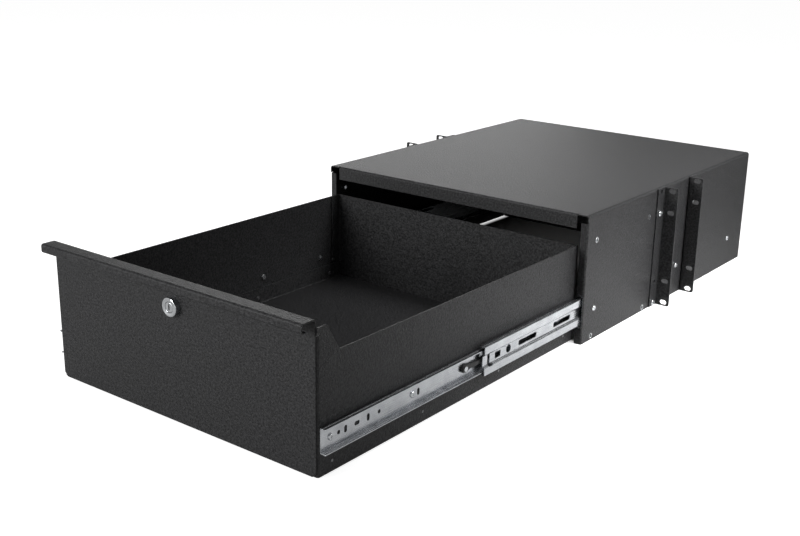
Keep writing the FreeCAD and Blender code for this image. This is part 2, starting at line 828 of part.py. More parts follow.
def box_rivets():
    """Rivets with their heads inside the drawer and their tails flush with its sides."""
    inside = drawer_inside - d.sheet
    grip = 2 * d.sheet
    corner = []
    for name, side in SIDES.items():
        points = [(side * inside, y, rivet_z) for y in rivet_ys]
        rivets = headed_pins(f"{name}_rivet_group", d.rivet_radius, d.rivet_head_radius,
                             d.rivet_head_height, grip, points, (side, 0, 0))
        node(rivets, f"{name}_floor_rivets")
        at = (side * inside, drawer_rear - d.rear_rivet_inset, floor_under + d.rear_rivet_height)
        corner.append(headed_pins(f"{name}_rear_rivet", d.rivet_radius, d.rivet_head_radius,
                                  d.rivet_head_height, grip, [at], (side, 0, 0)))
    pair = doc.addObject("Part::Compound", "rear_rivet_pair")
    pair.Links = corner
    node(pair, "rear_wall_rivets")


# ---------------------------------------------------------------- slides
#
# Each slide is drawn in its own frame: x runs outward from the drawer's side face to the enclosure
# wall, z is measured from the slide's centre line, and y is the assembly's own.  The left slide is
# the right one turned half a turn about Y, as the same part is used on both sides.

half_slide = d.slide_height / 2
outer_ball_z = half_slide - d.rail_gauge - d.ball_play - d.ball_radius
middle_race_z = outer_ball_z - d.ball_radius - d.ball_play
middle_top = middle_race_z + d.race_depth
middle_under = middle_top - d.rail_gauge
inner_ball_z = middle_under - d.ball_play - d.ball_radius
drawer_race_z = inner_ball_z - d.ball_radius - d.ball_play
drawer_member_top = drawer_race_z + d.race_depth
race_foot = d.race_half_width + d.race_depth
middle_member_front = -d.middle_member_reach
drawer_member_front = front_back + d.drawer_member_set_back
cage_half = d.cage_gauge / 2
lever_y = drawer_member_front + d.lever_at
drawer_screw_offsets = [d.drawer_screw_front, d.drawer_screw_second, d.drawer_screw_third, d.drawer_screw_rear]
drawer_screw_ys = [drawer_member_front + v for v in drawer_screw_offsets]


def slide_frame(thing, side):
    """Put a slide piece drawn in the slide's own frame on its side of the drawer."""
    turn = Rotation() if side > 0 else Rotation(Vector(0, 1, 0), 180)
    place(thing, side * drawer_half_width, 0, d.slide_centre, turn)


def both_halves(top_half):
    """Close an outline that is given for z above zero by its mirror image below."""
    mirrored = [(c[0], -Size.of(c[1]), *c[2:]) for c in reversed(top_half)]
    return top_half + mirrored


def rail(label, start, length, top_half):
    """A rolled slide member: its section, drawn on the slide's own frame, run along the slide."""
    body = new_body(f"{label}_body")
    section = new_sketch(body, f"{label}_section", "XZ_Plane", -start)
    outline(section, both_halves(top_half))
    pad(body, section, length, f"{label}_pad", backwards=True)
    return body


def punch(body, name, draw, depth):
    """Punch openings in a slide member's web; draw adds their outlines to the sketch."""
    sketch = new_sketch(body, name, "YZ_Plane")
    draw(sketch)
    return pocket(body, sketch, depth, f"{name}_pocket", backwards=True)


def clipped_slot(sketch, y, z, length, height, corner):
    """A punched slot whose corners are cut off."""
    left, right = y - length / 2, y + length / 2
    low, high = z - height / 2, z + height / 2
    outline(sketch, [
        (left + corner, low), (right - corner, low), (right, low + corner), (right, high - corner),
        (right - corner, high), (left + corner, high), (left, high - corner), (left, low + corner),
    ])


def cabinet_member(name, side):
    """The outer channel, screwed to the enclosure wall, its flanges bumped out over the balls."""
    label = f"{name}_cabinet_member"
    shoulder = half_slide - d.race_depth
    shoulder_in = shoulder - d.rail_gauge
    race_in = half_slide - d.rail_gauge
    x = d.outer_race
    step = d.rail_gauge - d.race_depth
    body = rail(label, d.cabinet_member_start, cabinet_member_end - d.cabinet_member_start, [
        (d.slide_thickness, shoulder - d.rail_gauge),
        (d.slide_thickness - d.rail_gauge, shoulder),
        (x + race_foot + step, shoulder),
        (x + d.race_half_width + step, half_slide),
        (x - d.race_half_width - step, half_slide),
        (x - race_foot - step, shoulder),
        (d.outer_hem, shoulder),
        (d.outer_hem, shoulder_in),
        (x - race_foot, shoulder_in),
        (x - d.race_half_width, race_in),
        (x + d.race_half_width, race_in),
        (x + race_foot, shoulder_in),
        (d.slide_thickness - d.rail_gauge, shoulder_in),
    ])
    tools = []
    for number, y in enumerate(cabinet_screw_ys):
        at = (d.slide_thickness - d.rail_gauge - d.bend_relief, y, 0)
        depth = d.rail_gauge + 2 * d.bend_relief
        radius = d.screw_radius + d.screw_play
        tools.append(prism(f"{label}_hole_{number}", SMALL_SIDES, radius, depth, at, (1, 0, 0)))
    result = cut(f"{label}_cut", body, tools)
    slide_frame(result, side)
    node(result, label)


def middle_member(name, side):
    """The middle member: outer races on its flanges, inner races under them, a recessed web."""
    label = f"{name}_middle_member"
    gauge = d.rail_gauge
    back, front = d.middle_back, d.middle_front
    x = d.outer_race
    step = gauge - d.race_depth
    recess_top = d.recess_half_height + d.recess_ramp
    race_under = middle_race_z - gauge
    body = rail(label, middle_member_front, d.middle_member_length, [
        (back - d.middle_recess, d.recess_half_height),
        (back, recess_top),
        (back, middle_top - step),
        (back - step, middle_top),
        (x + race_foot, middle_top),
        (x + d.race_half_width, middle_race_z),
        (x - d.race_half_width, middle_race_z),
        (x - race_foot, middle_top),
        (front + gauge, middle_top),
        (front, middle_top - gauge),
        (front, inner_ball_z),
        (front + gauge, inner_ball_z),
        (front + gauge, middle_under),
        (x - race_foot - d.race_depth, middle_under),
        (x - race_foot, race_under),
        (back - gauge, race_under),
        (back - gauge, recess_top),
        (back - gauge - d.middle_recess, d.recess_half_height),
    ])

    def draw(sketch):
        y = middle_member_front + d.catch_window_at
        half = d.catch_window_height / 2
        arm = d.catch_window_width / 2
        outline(sketch, [
            (y - arm, -half), (y + arm, -half), (y + arm, half - arm), (y + 2 * arm, half - arm),
            (y + 2 * arm, half), (y - 2 * arm, half), (y - 2 * arm, half - arm), (y - arm, half - arm),
        ])
        y = middle_member_front + d.tab_window_at
        clipped_slot(sketch, y, 0, d.tab_window_length, d.tab_window_height, d.punch_corner)
        circle(sketch, middle_member_front + d.access_hole_at, 0, d.access_hole_radius)
        for number in range(2):
            y = middle_member_front + d.access_slot_at + d.access_slot_pitch * number
            clipped_slot(sketch, y, 0, d.access_slot_length, d.access_slot_height, d.access_slot_corner)

    punch(body, f"{label}_windows", draw, d.slide_thickness)
    slide_frame(body, side)
    node(body, label)


def drawer_member(name, side):
    """The inner channel, screwed to the drawer side, with races pressed in its flanges."""
    label = f"{name}_drawer_member"
    gauge = d.rail_gauge
    x = d.inner_race
    edge = d.drawer_member_depth
    top_under = drawer_member_top - gauge
    race_under = drawer_race_z - gauge
    body = rail(label, drawer_member_front, d.drawer_member_length, [
        (gauge, top_under),
        (x - race_foot - d.race_depth, top_under),
        (x - race_foot, race_under),
        (x + race_foot, race_under),
        (x + race_foot + d.race_depth, top_under),
        (edge, top_under),
        (edge, drawer_member_top),
        (x + race_foot, drawer_member_top),
        (x + d.race_half_width, drawer_race_z),
        (x - d.race_half_width, drawer_race_z),
        (x - race_foot, drawer_member_top),
        (gauge, drawer_member_top),
        (0, drawer_member_top - gauge),
    ])

    def draw(sketch):
        first = drawer_screw_ys[0]
        pitch = d.punch_pitch
        width, height, corner = d.punch_width, d.punch_height, d.punch_corner
        clipped_slot(sketch, first + pitch * 0.7, 0, width, width, corner)
        clipped_slot(sketch, first + pitch * 1.3, 0, width, height, corner)
        clipped_slot(sketch, first + pitch * 2.3, 0, height, width, corner)
        clipped_slot(sketch, first + pitch * 3.3, 0, width, height, corner)
        clipped_slot(sketch, first + pitch * 4.3, 0, width, width, corner)
        clipped_slot(sketch, drawer_screw_ys[1] + pitch * 0.6, 0, width, height, corner)

    punch(body, f"{label}_slots", draw, d.rail_gauge)
    tools = []
    for number, y in enumerate(drawer_screw_ys):
        at = (-d.bend_relief, y, 0)
        depth = gauge + 2 * d.bend_relief
        radius = d.screw_radius + d.screw_play
        tools.append(prism(f"{label}_hole_{number}", SMALL_SIDES, radius, depth, at, (1, 0, 0)))
    result = cut(f"{label}_cut", body, tools)
    slide_frame(result, side)
    node(result, label)


def ball_facets():
    """The 32 facets of a unit ball: an octahedron with each face split in four."""
    facets = []
    for sx in (-1, 1):
        for sy in (-1, 1):
            for sz in (-1, 1):
                p, q, r = Vector(sx, 0, 0), Vector(0, sy, 0), Vector(0, 0, sz)
                pq, qr, rp = (p + q).normalize(), (q + r).normalize(), (r + p).normalize()
                facets += [(p, pq, rp), (q, qr, pq), (r, rp, qr), (pq, qr, rp)]
    return facets


def ball(radius, centre, facets):
    faces = []
    for triangle in facets:
        points = [centre + p * radius for p in triangle]
        faces.append(Part.Face(Part.makePolygon(points + points[:1])))
    solid = Part.Solid(Part.Shell(faces))
    if solid.Volume < 0:
        solid.reverse()
    return solid


def ball_ys(start, length):
    """Where the balls of one row stand along the slide."""
    step = length / BALLS_PER_ROW
    return [start + step * (n + 0.5) for n in range(BALLS_PER_ROW)]


def ball_row_pair(label, side, x, z, ys):
    """Two rows of balls, above and below the slide's centre line."""
    facets = ball_facets()
    balls = []
    for sign in (1, -1):
        for y in ys:
            centre = Vector(x.value, y.value, sign * z.value)
            balls.append(ball(d.ball_radius.value, centre, facets))
    thing = doc.addObject("Part::Feature", label)
    thing.Shape = Part.Compound(balls)
    slide_frame(thing, side)
    node(thing, label)


def cage_windows(label, x, z, ys):
    """Square holes through both strips of a cage, one round each ball."""
    half = d.ball_radius + d.cage_window
    tools = []
    for number, y in enumerate(ys):
        box = doc.addObject("Part::Box", f"{label}_window_{number}")
        bind(box, Length=2 * half, Width=2 * half, Height=2 * (z + d.ball_radius))
        place(box, x - half, y - half, -(z + d.ball_radius))
        tools.append(box)
    return tools


def outer_cage(name, side):
    """Ball retainer between the cabinet and middle members: a thin channel with ball windows."""
    label = f"{name}_outer_ball_cage"
    start = d.cabinet_member_start + d.cage_margin
    length = middle_member_front + d.middle_member_length - d.cage_margin - start
    web = d.middle_back + d.cage_gap
    edge = d.outer_hem + d.rail_gauge
    top = outer_ball_z + cage_half
    body = rail(label, start, length, [
        (web, outer_ball_z - cage_half),
        (edge, outer_ball_z - cage_half),
        (edge, top),
        (web + d.cage_gauge, top),
    ])
    ys = ball_ys(start, length)
    result = cut(f"{label}_cut", body, cage_windows(label, d.outer_race, outer_ball_z, ys))
    slide_frame(result, side)
    node(result, label)
    ball_row_pair(f"{name}_outer_balls", side, d.outer_race, outer_ball_z, ys)


def inner_cage(name, side):
    """Ball retainers between the middle and drawer members: a flat strip above and one below."""
    label = f"{name}_inner_ball_cage"
    start = middle_member_front + d.cage_margin
    length = drawer_member_front + d.drawer_member_length - d.cage_margin - start
    left = d.middle_front + d.rail_gauge + d.cage_gap
    right = d.middle_back - d.rail_gauge - d.cage_gap
    strips = []
    for sign in (1, -1):
        strip = doc.addObject("Part::Box", f"{label}_strip_{sign + 1}")
        bind(strip, Length=right - left, Width=length, Height=d.cage_gauge)
        place(strip, left, start, sign * inner_ball_z - cage_half)
        strips.append(strip)
    ys = ball_ys(start, length)
    pair = doc.addObject("Part::Compound", f"{label}_strips")
    pair.Links = strips
    result = cut(f"{label}_cut", pair, cage_windows(label, d.inner_race, inner_ball_z, ys))
    slide_frame(result, side)
    node(result, label)
    ball_row_pair(f"{name}_inner_balls", side, d.inner_race, inner_ball_z, ys)


def release_lever(name, side):
    """Disconnect lever: a hub on its pivot, a bar to the rear and a catch across its end."""
    label = f"{name}_release_lever"
    body = new_body(f"{label}_body")
    start = d.rail_gauge + d.lever_play
    bar = new_sketch(body, f"{label}_bar", "YZ_Plane", start)
    half, hub = d.lever_half_width, d.lever_hub
    end = lever_y + d.lever_length
    catch = end - d.lever_catch_length
    outline(bar, [
        (lever_y - hub, -hub, half),
        (lever_y + hub, -hub, half),
        (lever_y + 2 * hub, -half),
        (catch, -half),
        (catch, -d.lever_catch),
        (end, -d.lever_catch),
        (end, d.lever_catch),
        (catch, d.lever_catch),
        (catch, half),
        (lever_y + 2 * hub, half),
        (lever_y + hub, hub, half),
        (lever_y - hub, hub, half),
    ])
    pad(body, bar, d.lever_thickness, f"{label}_pad")
    radius = d.pivot_radius + d.pivot_play
    bore = cylinder(f"{label}_bore", radius, d.lever_thickness, (start, lever_y, 0), (1, 0, 0))
    result = cut(f"{label}_cut", body, [bore])
    slide_frame(result, side)
    node(result, label)


def lever_pivot(name, side):
    """Headed pin staked to the drawer member's web, on which the lever turns."""
    label = f"{name}_lever_pivot"
    length = 2 * d.lever_play + d.lever_thickness
    shank = cylinder(f"{label}_shank", d.pivot_radius, length, (d.rail_gauge, lever_y, 0), (1, 0, 0))
    seat = (d.rail_gauge + length, lever_y, 0)
    head = cylinder(f"{label}_head", d.pivot_head_radius, d.pivot_head_height, seat, (1, 0, 0))
    pin = fuse(f"{label}_fuse", [shank, head])
    slide_frame(pin, side)
    node(pin, label)


def slide_fasteners(name, side):
    """Screws that hold the cabinet member to the wall and the drawer member to the drawer side."""
    points = [(side * half_width, y, d.slide_centre) for y in cabinet_screw_ys]
    screws = headed_pins(f"{name}_cabinet_screw_group", d.screw_radius, d.screw_head_radius,
                         d.screw_head_height, d.sheet + d.rail_gauge, points, (-side, 0, 0))
    node(screws, f"{name}_cabinet_member_screws")

    seat = side * (drawer_half_width + d.rail_gauge)
    points = [(seat, y, d.slide_centre) for y in drawer_screw_ys]
    length = d.rail_gauge + d.sheet + d.nut_height + d.fit
    screws = headed_pins(f"{name}_drawer_screw_group", d.screw_radius, d.screw_head_radius,
                         d.screw_head_height, length, points, (-side, 0, 0))
    node(screws, f"{name}_drawer_member_screws")

    nuts = []
    bores = []
    for number, y in enumerate(drawer_screw_ys):
        at = (side * drawer_inside, y, d.slide_centre)
        key = f"{name}_{number}"
        nuts.append(prism(f"slide_nut_{key}", HEX_SIDES, d.nut_radius, d.nut_height, at, (-side, 0, 0)))
        radius = d.screw_radius + d.screw_play
        bores.append(prism(f"slide_nut_bore_{key}", SMALL_SIDES, radius, d.nut_height, at, (-side, 0, 0)))
    node(cut(f"{name}_slide_nuts_cut", fuse(f"{name}_slide_nut_group", nuts), bores), f"{name}_drawer_member_nuts")


# ---------------------------------------------------------------- cam lock

lock_face = front_face - d.lock_head_length
barrel_end = front_face + d.barrel_length
plug_face = lock_face + d.plug_recess
cam_front = barrel_end + d.plug_play
cam_back = cam_front + d.cam_thickness


def barrel(name, sides, radius, start, end):
    """A many-sided cylinder about the lock's axis, from one y to another."""
    return prism(name, sides, radius, end - start, (0, start, d.lock_height), (0, 1, 0))


def lock_housing():
    """Chromed housing: a stepped head in front of the panel and a barrel through it."""
    edge = lock_face + d.lock_head_chamfer
    face = barrel("lock_head_face", ROUND_SIDES, d.lock_head_radius - d.lock_head_chamfer, lock_face, edge)
    head = barrel("lock_head", ROUND_SIDES, d.lock_head_radius, edge, front_face)
    tube = barrel("lock_barrel", ROUND_SIDES, d.barrel_radius, front_face, barrel_end)
    bore = barrel("lock_bore", ROUND_SIDES, d.plug_radius + d.plug_play, lock_face, barrel_end)
    node(cut("lock_housing_cut", fuse("lock_housing_blank", [face, head, tube]), [bore]), "lock_housing")


def lock_nut():
    """Hexagonal nut that clamps the housing to the back of the front panel."""
    end = front_back + d.lock_nut_height
    blank = barrel("lock_nut_blank", HEX_SIDES, d.lock_nut_radius, front_back, end)
    bore = barrel("lock_nut_bore", ROUND_SIDES, d.barrel_radius + d.plug_play, front_back, end)
    node(cut("lock_nut_cut", blank, [bore]), "lock_nut")


def lock_plug():
    """The keyed plug, with a square drive for the cam and a tapped hole for its screw."""
    body = barrel("plug_body", ROUND_SIDES, d.plug_radius, plug_face, cam_front)
    drive = doc.addObject("Part::Box", "plug_drive")
    square = d.drive_half_width
    bind(drive, Length=2 * square, Width=d.cam_thickness, Height=2 * square)
    place(drive, -square, cam_front, d.lock_height - square)
    key = doc.addObject("Part::Box", "key_slot")
    bind(key, Length=d.key_slot_width, Width=d.key_slot_depth, Height=d.key_slot_height)
    place(key, -d.key_slot_width / 2, plug_face, d.lock_height - d.key_slot_height / 2)
    hole_end = cam_front - d.cam_screw_length
    hole = barrel("plug_hole", SMALL_SIDES, d.cam_screw_radius + d.plug_play, hole_end, cam_back)
    node(cut("lock_plug_cut", fuse("lock_plug_blank", [body, drive]), [key, hole]), "lock_plug")


def lock_cam():
    """Cranked cam: square hole at its root, tip stepped forward to bear behind the lip."""
    body = new_body("lock_cam_body")
    step = d.cam_bend_start + d.cam_crank
    section = new_sketch(body, "cam_section", "XY_Plane")
    outline(section, [
        (d.cam_root, cam_front),
        (d.cam_root, cam_back),
        (-d.cam_bend_start, cam_back),
        (-step, cam_back - d.cam_crank),
        (-d.cam_tip, cam_back - d.cam_crank),
        (-d.cam_tip, cam_front - d.cam_crank),
        (-step, cam_front - d.cam_crank),
        (-d.cam_bend_start, cam_front),
    ])
    last = pad(body, section, 2 * d.cam_half_width, "cam_pad", both_ways=True)

    def on_end_corner(p):
        ends = (d.cam_root.value, -d.cam_tip.value)
        return min(abs(p.x - e) for e in ends) < 1e-6 and abs(abs(p.z) - d.cam_half_width.value) < 1e-6

    dress(body, "Chamfer", last, on_end_corner, d.cam_corner, "cam_corners", ALONG_Y)
    hole = new_sketch(body, "cam_hole", "XZ_Plane", -cam_front)
    square = d.drive_half_width + d.plug_play
    rectangle(hole, -square, square, -square, square)
    pocket(body, hole, d.cam_thickness, "cam_hole_pocket")
    place(body, 0, 0, d.lock_height)
    node(body, "lock_cam")


def lock_cam_screw():
    """Hexagon-headed screw that holds the cam on the plug."""
    head = barrel("cam_screw_head", HEX_SIDES, d.cam_screw_head_radius, cam_back, cam_back + d.cam_screw_head_height)
    start = cam_front - d.cam_screw_length + d.plug_play
    shank = barrel("cam_screw_shank", SMALL_SIDES, d.cam_screw_radius, start, cam_back)
    node(fuse("lock_cam_screw_fuse", [head, shank]), "lock_cam_screw")


# ---------------------------------------------------------------- build

enclosure_shell()
enclosure_rear_panel()
drawer_front()
drawer_floor()
drawer_rear_wall()
box_rivets()
for name, side in SIDES.items():
    rivet_nuts(name, side)
    rack_ear(name, side, "front", d.front_ear_face, -1)
    rack_ear(name, side, "rear", d.rear_ear_face, 1)
    rack_ear_screws(name, side)
    drawer_side(name, side)
    cabinet_member(name, side)
    middle_member(name, side)
    drawer_member(name, side)
    outer_cage(name, side)
    inner_cage(name, side)
    release_lever(name, side)
    lever_pivot(name, side)
    slide_fasteners(name, side)
lock_housing()
lock_nut()
lock_plug()
lock_cam()
lock_cam_screw()
doc.recompute()

for thing in doc.Objects:
    if any(state in ("Invalid", "Error") for state in thing.State):
        raise RuntimeError(f"{thing.Name} did not build: {thing.State}")
for thing in nodes:
    if thing.Shape.isNull() or not thing.Shape.isValid() or not thing.Shape.Solids:
        raise RuntimeError(f"{thing.Label} has no valid solid")

os.makedirs("parts", exist_ok=True)
for thing in nodes:
    thing.Shape.exportStep(f"parts/{thing.Label}.step")
print(len(nodes), "sub-parts written")
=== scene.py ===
# %% [markdown]
# # A sliding rack drawer, dressed for the camera
#
# The real object is a steel box that bolts into an equipment rack, with a drawer that rolls out of
# it on two ball-bearing slides.  Nearly all of it is sheet steel 1.5 mm thick, folded and powder
# coated black.  The slides are bright zinc, the lock is chromed, and the small release levers are
# black plastic.  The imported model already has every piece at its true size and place.  This lesson
# gives each piece the finish that its maker gives it, breaks the hard edges as folding and punching
# do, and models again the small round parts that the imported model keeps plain.

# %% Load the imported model
import json
import math

import bmesh
import bpy
from mathutils import Matrix, Vector


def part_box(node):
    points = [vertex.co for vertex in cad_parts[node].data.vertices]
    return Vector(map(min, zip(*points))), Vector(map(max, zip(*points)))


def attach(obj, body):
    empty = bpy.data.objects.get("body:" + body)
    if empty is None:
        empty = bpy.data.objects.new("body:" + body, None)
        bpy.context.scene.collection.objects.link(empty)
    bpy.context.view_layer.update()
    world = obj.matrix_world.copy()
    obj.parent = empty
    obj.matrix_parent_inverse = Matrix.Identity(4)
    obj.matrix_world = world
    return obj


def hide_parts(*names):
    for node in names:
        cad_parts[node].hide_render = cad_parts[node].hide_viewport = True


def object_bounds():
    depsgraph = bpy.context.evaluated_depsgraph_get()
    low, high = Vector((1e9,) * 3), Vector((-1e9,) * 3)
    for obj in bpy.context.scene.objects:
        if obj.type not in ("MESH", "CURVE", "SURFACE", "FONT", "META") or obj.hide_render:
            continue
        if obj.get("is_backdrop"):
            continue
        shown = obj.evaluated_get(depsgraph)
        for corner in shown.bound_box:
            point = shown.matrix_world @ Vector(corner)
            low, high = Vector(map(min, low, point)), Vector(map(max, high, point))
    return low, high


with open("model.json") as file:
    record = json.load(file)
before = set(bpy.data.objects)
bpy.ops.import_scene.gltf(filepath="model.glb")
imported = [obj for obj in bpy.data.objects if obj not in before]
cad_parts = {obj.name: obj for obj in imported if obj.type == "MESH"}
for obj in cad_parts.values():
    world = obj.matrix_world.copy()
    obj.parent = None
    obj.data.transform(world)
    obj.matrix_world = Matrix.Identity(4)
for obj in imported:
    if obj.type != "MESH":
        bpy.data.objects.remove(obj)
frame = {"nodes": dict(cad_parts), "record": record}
cad_low, cad_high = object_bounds()
nodes = frame["nodes"]
record = frame["record"]
body_of = {node: body for body, members in record["behaviour"]["bodies"].items() for node in members}
slot_of = {piece["node"]: piece["material_slot"] for piece in record["subparts"]}
MM = 0.001
SIDES = {"left": -1, "right": 1}
print(len(nodes), "pieces; size in mm:", [round(v / MM, 1) for v in cad_high - cad_low])

# %% [markdown]
# ## The camera
#
# The drawer is seen from its front right corner and a little from above, with a lens somewhat
# longer than normal, so that near and far edges differ clearly in length.  The camera hangs from a
# point given from the front edge of the enclosure, and it is tipped by just under one degree, as a
# camera on a tripod often is.

# %% Camera
AZIMUTH = math.radians(37.88)
ELEVATION = math.radians(17.82)
TIP = math.radians(0.92)
FOCAL_LENGTH = 52.06
STAND = Vector((904.2, -1271.5, 560.7)) * MM
back = Vector((
    math.sin(AZIMUTH) * math.cos(ELEVATION),
    -math.cos(AZIMUTH) * math.cos(ELEVATION),
    math.sin(ELEVATION),
))
level_right = Vector((math.cos(AZIMUTH), math.sin(AZIMUTH), 0))
level_up = back.cross(level_right)
right = math.cos(TIP) * level_right + math.sin(TIP) * level_up
up = back.cross(right)
lens = bpy.data.cameras.new("studio_camera")
lens.sensor_width = 36
lens.lens = FOCAL_LENGTH
camera = bpy.data.objects.new("studio_camera", lens)
bpy.context.scene.collection.objects.link(camera)
camera.matrix_world = Matrix.Translation(STAND) @ Matrix((right, up, back)).transposed().to_4x4()
bpy.context.scene.camera = camera
print("camera stands", round(STAND.length, 2), "m from the enclosure's front edge")

# %% [markdown]
# ## Colours and node trees
#
# Colours are written as the hex values that a colour picker shows, and Blender's shaders work on
# linear light, so one function turns the first into the second.  Another adds a node to a tree: its
# sockets are set to numbers or linked to other nodes, and its properties are set by name.  Some
# nodes hold several sockets of one name, one for each kind of value.  They are told apart by number:
# a Mix node that mixes colours takes its factor in socket 0, its colours in sockets 6 and 7, and
# gives the result in output 2.

# %% Helpers for materials
def linear(hex_colour):
    """Linear red, green, blue and alpha of an sRGB hex colour."""
    parts = [int(hex_colour[i:i + 2], 16) / 255 for i in (1, 3, 5)]
    return [c / 12.92 if c <= 0.04045 else ((c + 0.055) / 1.055) ** 2.4 for c in parts] + [1]


def add_node(tree, kind, sockets=None, **properties):
    """A new node whose sockets take a value or the output of another node."""
    node = tree.nodes.new(kind)
    for name, value in properties.items():
        setattr(node, name, value)
    for name, value in (sockets or {}).items():
        if isinstance(value, bpy.types.NodeSocket):
            tree.links.new(value, node.inputs[name])
        else:
            node.inputs[name].default_value = value
    return node


def new_material(name):
    """An empty material, its node tree and its output node."""
    material = bpy.data.materials.new(name)
    material.use_nodes = True
    tree = material.node_tree
    tree.nodes.clear()
    return material, tree, add_node(tree, "ShaderNodeOutputMaterial")


MIX_A, MIX_B, MIXED = 6, 7, 2
finishes = {}
print("#808080 is", round(linear("#808080")[0], 3), "in linear light")

# %% [markdown]
# ## Powder coated steel
#
# Powder coat is a polyester resin, baked on.  It is an insulator, so it is not metallic: a dark
# base under a thin skin.  This one is a fine texture satin black, whose tiny wrinkles scatter most
# of the mirror light, so the skin has a low IOR and a middling roughness.  The wrinkles are about
# half a millimetre across, too fine to show at this distance, so they are drawn at about 2.6 mm.
# Under them lies the slow waviness that a sprayer calls orange peel, some 9 mm long, and a few
# lighter specks where the powder clumped.  The bump gives the speckle of small bright points
# wherever light grazes a wall.

# %% Powder coat
GRAIN = 2.6 * MM
PEEL = 9 * MM
material, tree, output = new_material("powder_coated_steel")
place = add_node(tree, "ShaderNodeTexCoord").outputs["Object"]
grain = add_node(tree, "ShaderNodeTexNoise", {
    "Vector": place, "Scale": 1 / GRAIN, "Detail": 3, "Roughness": 0.7,
}).outputs["Fac"]
peel = add_node(tree, "ShaderNodeTexNoise", {"Vector": place, "Scale": 1 / PEEL, "Detail": 2})
speckle = add_node(tree, "ShaderNodeMapRange", {"Value": grain, "From Min": 0.36, "From Max": 0.68})
colour = add_node(tree, "ShaderNodeMix", {
    0: speckle.outputs["Result"], MIX_A: linear("#0E0E0F"), MIX_B: linear("#353536"),
}, data_type="RGBA")
rough = add_node(tree, "ShaderNodeMapRange", {"Value": grain, "To Min": 0.36, "To Max": 0.56})
peel_bump = add_node(tree, "ShaderNodeBump", {
    "Height": peel.outputs["Fac"], "Strength": 0.12, "Distance": 0.4 * MM,
})
grain_bump = add_node(tree, "ShaderNodeBump", {
    "Height": grain, "Normal": peel_bump.outputs["Normal"], "Strength": 0.9, "Distance": 0.7 * MM,
})
skin = add_node(tree, "ShaderNodeBsdfPrincipled", {
    "Base Color": colour.outputs[MIXED], "Roughness": rough.outputs["Result"],
    "Normal": grain_bump.outputs["Normal"], "IOR": 1.33,
})
tree.links.new(skin.outputs["BSDF"], output.inputs["Surface"])
finishes["black_powder_coat"] = material
print("powder coat: grain", round(GRAIN / MM, 2), "mm, waves", round(PEEL / MM, 2), "mm")

# %% [markdown]
# ## Zinc plated steel
#
# The slides are rolled from steel strip and plated with bright zinc.  The rolls leave faint lines
# along the strip, so the noise is stretched along Y, the way the slides run: 40 mm long and a third
# of a millimetre wide.  Zinc is a metal, so its colour is the colour of its reflection.  The plating
# bath leaves it slightly cloudy, which is a slow change of roughness.

# %% Zinc
LINE = 0.33 * MM
STRETCH = 0.008
CLOUDS_PER_METRE = 60
material, tree, output = new_material("zinc_plated_strip")
place = add_node(tree, "ShaderNodeTexCoord").outputs["Object"]
along = add_node(tree, "ShaderNodeMapping", {"Vector": place, "Scale": (1, STRETCH, 1)})
lines = add_node(tree, "ShaderNodeTexNoise", {
    "Vector": along.outputs["Vector"], "Scale": 1 / LINE, "Detail": 2,
}).outputs["Fac"]
cloud = add_node(tree, "ShaderNodeTexNoise", {"Vector": place, "Scale": CLOUDS_PER_METRE, "Detail": 3})
colour = add_node(tree, "ShaderNodeMix", {
    0: cloud.outputs["Fac"], MIX_A: linear("#A4A7AB"), MIX_B: linear("#DADCDF"),
}, data_type="RGBA")
rough = add_node(tree, "ShaderNodeMapRange", {"Value": lines, "To Min": 0.16, "To Max": 0.34})
bump = add_node(tree, "ShaderNodeBump", {"Height": lines, "Strength": 0.25, "Distance": 0.1 * MM})
metal = add_node(tree, "ShaderNodeBsdfPrincipled", {
    "Base Color": colour.outputs[MIXED], "Roughness": rough.outputs["Result"],
    "Normal": bump.outputs["Normal"], "Metallic": 1.0,
})
tree.links.new(metal.outputs["BSDF"], output.inputs["Surface"])
finishes["zinc_plate"] = material
print("roll lines", round(LINE / MM, 2), "mm wide and", round(LINE / STRETCH / MM), "mm long")

# %% [markdown]
# ## Fasteners, balls and the lock
#
# Screws and nuts are barrel plated with the same zinc, and the tumbling leaves them with tiny dents
# instead of lines.  The rivets are blackened steel, rubbed bright in places by the tool that pulls
# them.  Bearing balls are ground bright, and the lock is die-cast zinc with chrome over it, nearly a mirror.

# %% Small metal finishes
def tumbled_metal(name, dark, light, dent, low_rough, high_rough):
    """A small metal part whose finish has soft dents of a given size in metres."""
    material, tree, output = new_material(name)
    place = add_node(tree, "ShaderNodeTexCoord").outputs["Object"]
    dents = add_node(tree, "ShaderNodeTexNoise", {
        "Vector": place, "Scale": 1 / dent, "Detail": 2,
    }).outputs["Fac"]
    colour = add_node(tree, "ShaderNodeMix", {
        0: dents, MIX_A: linear(dark), MIX_B: linear(light),
    }, data_type="RGBA")
    rough = add_node(tree, "ShaderNodeMapRange", {"Value": dents, "To Min": low_rough, "To Max": high_rough})
    bump = add_node(tree, "ShaderNodeBump", {"Height": dents, "Strength": 0.2, "Distance": 0.1 * MM})
    metal = add_node(tree, "ShaderNodeBsdfPrincipled", {
        "Base Color": colour.outputs[MIXED], "Roughness": rough.outputs["Result"],
        "Normal": bump.outputs["Normal"], "Metallic": 1.0,
    })
    tree.links.new(metal.outputs["BSDF"], output.inputs["Surface"])
    return material


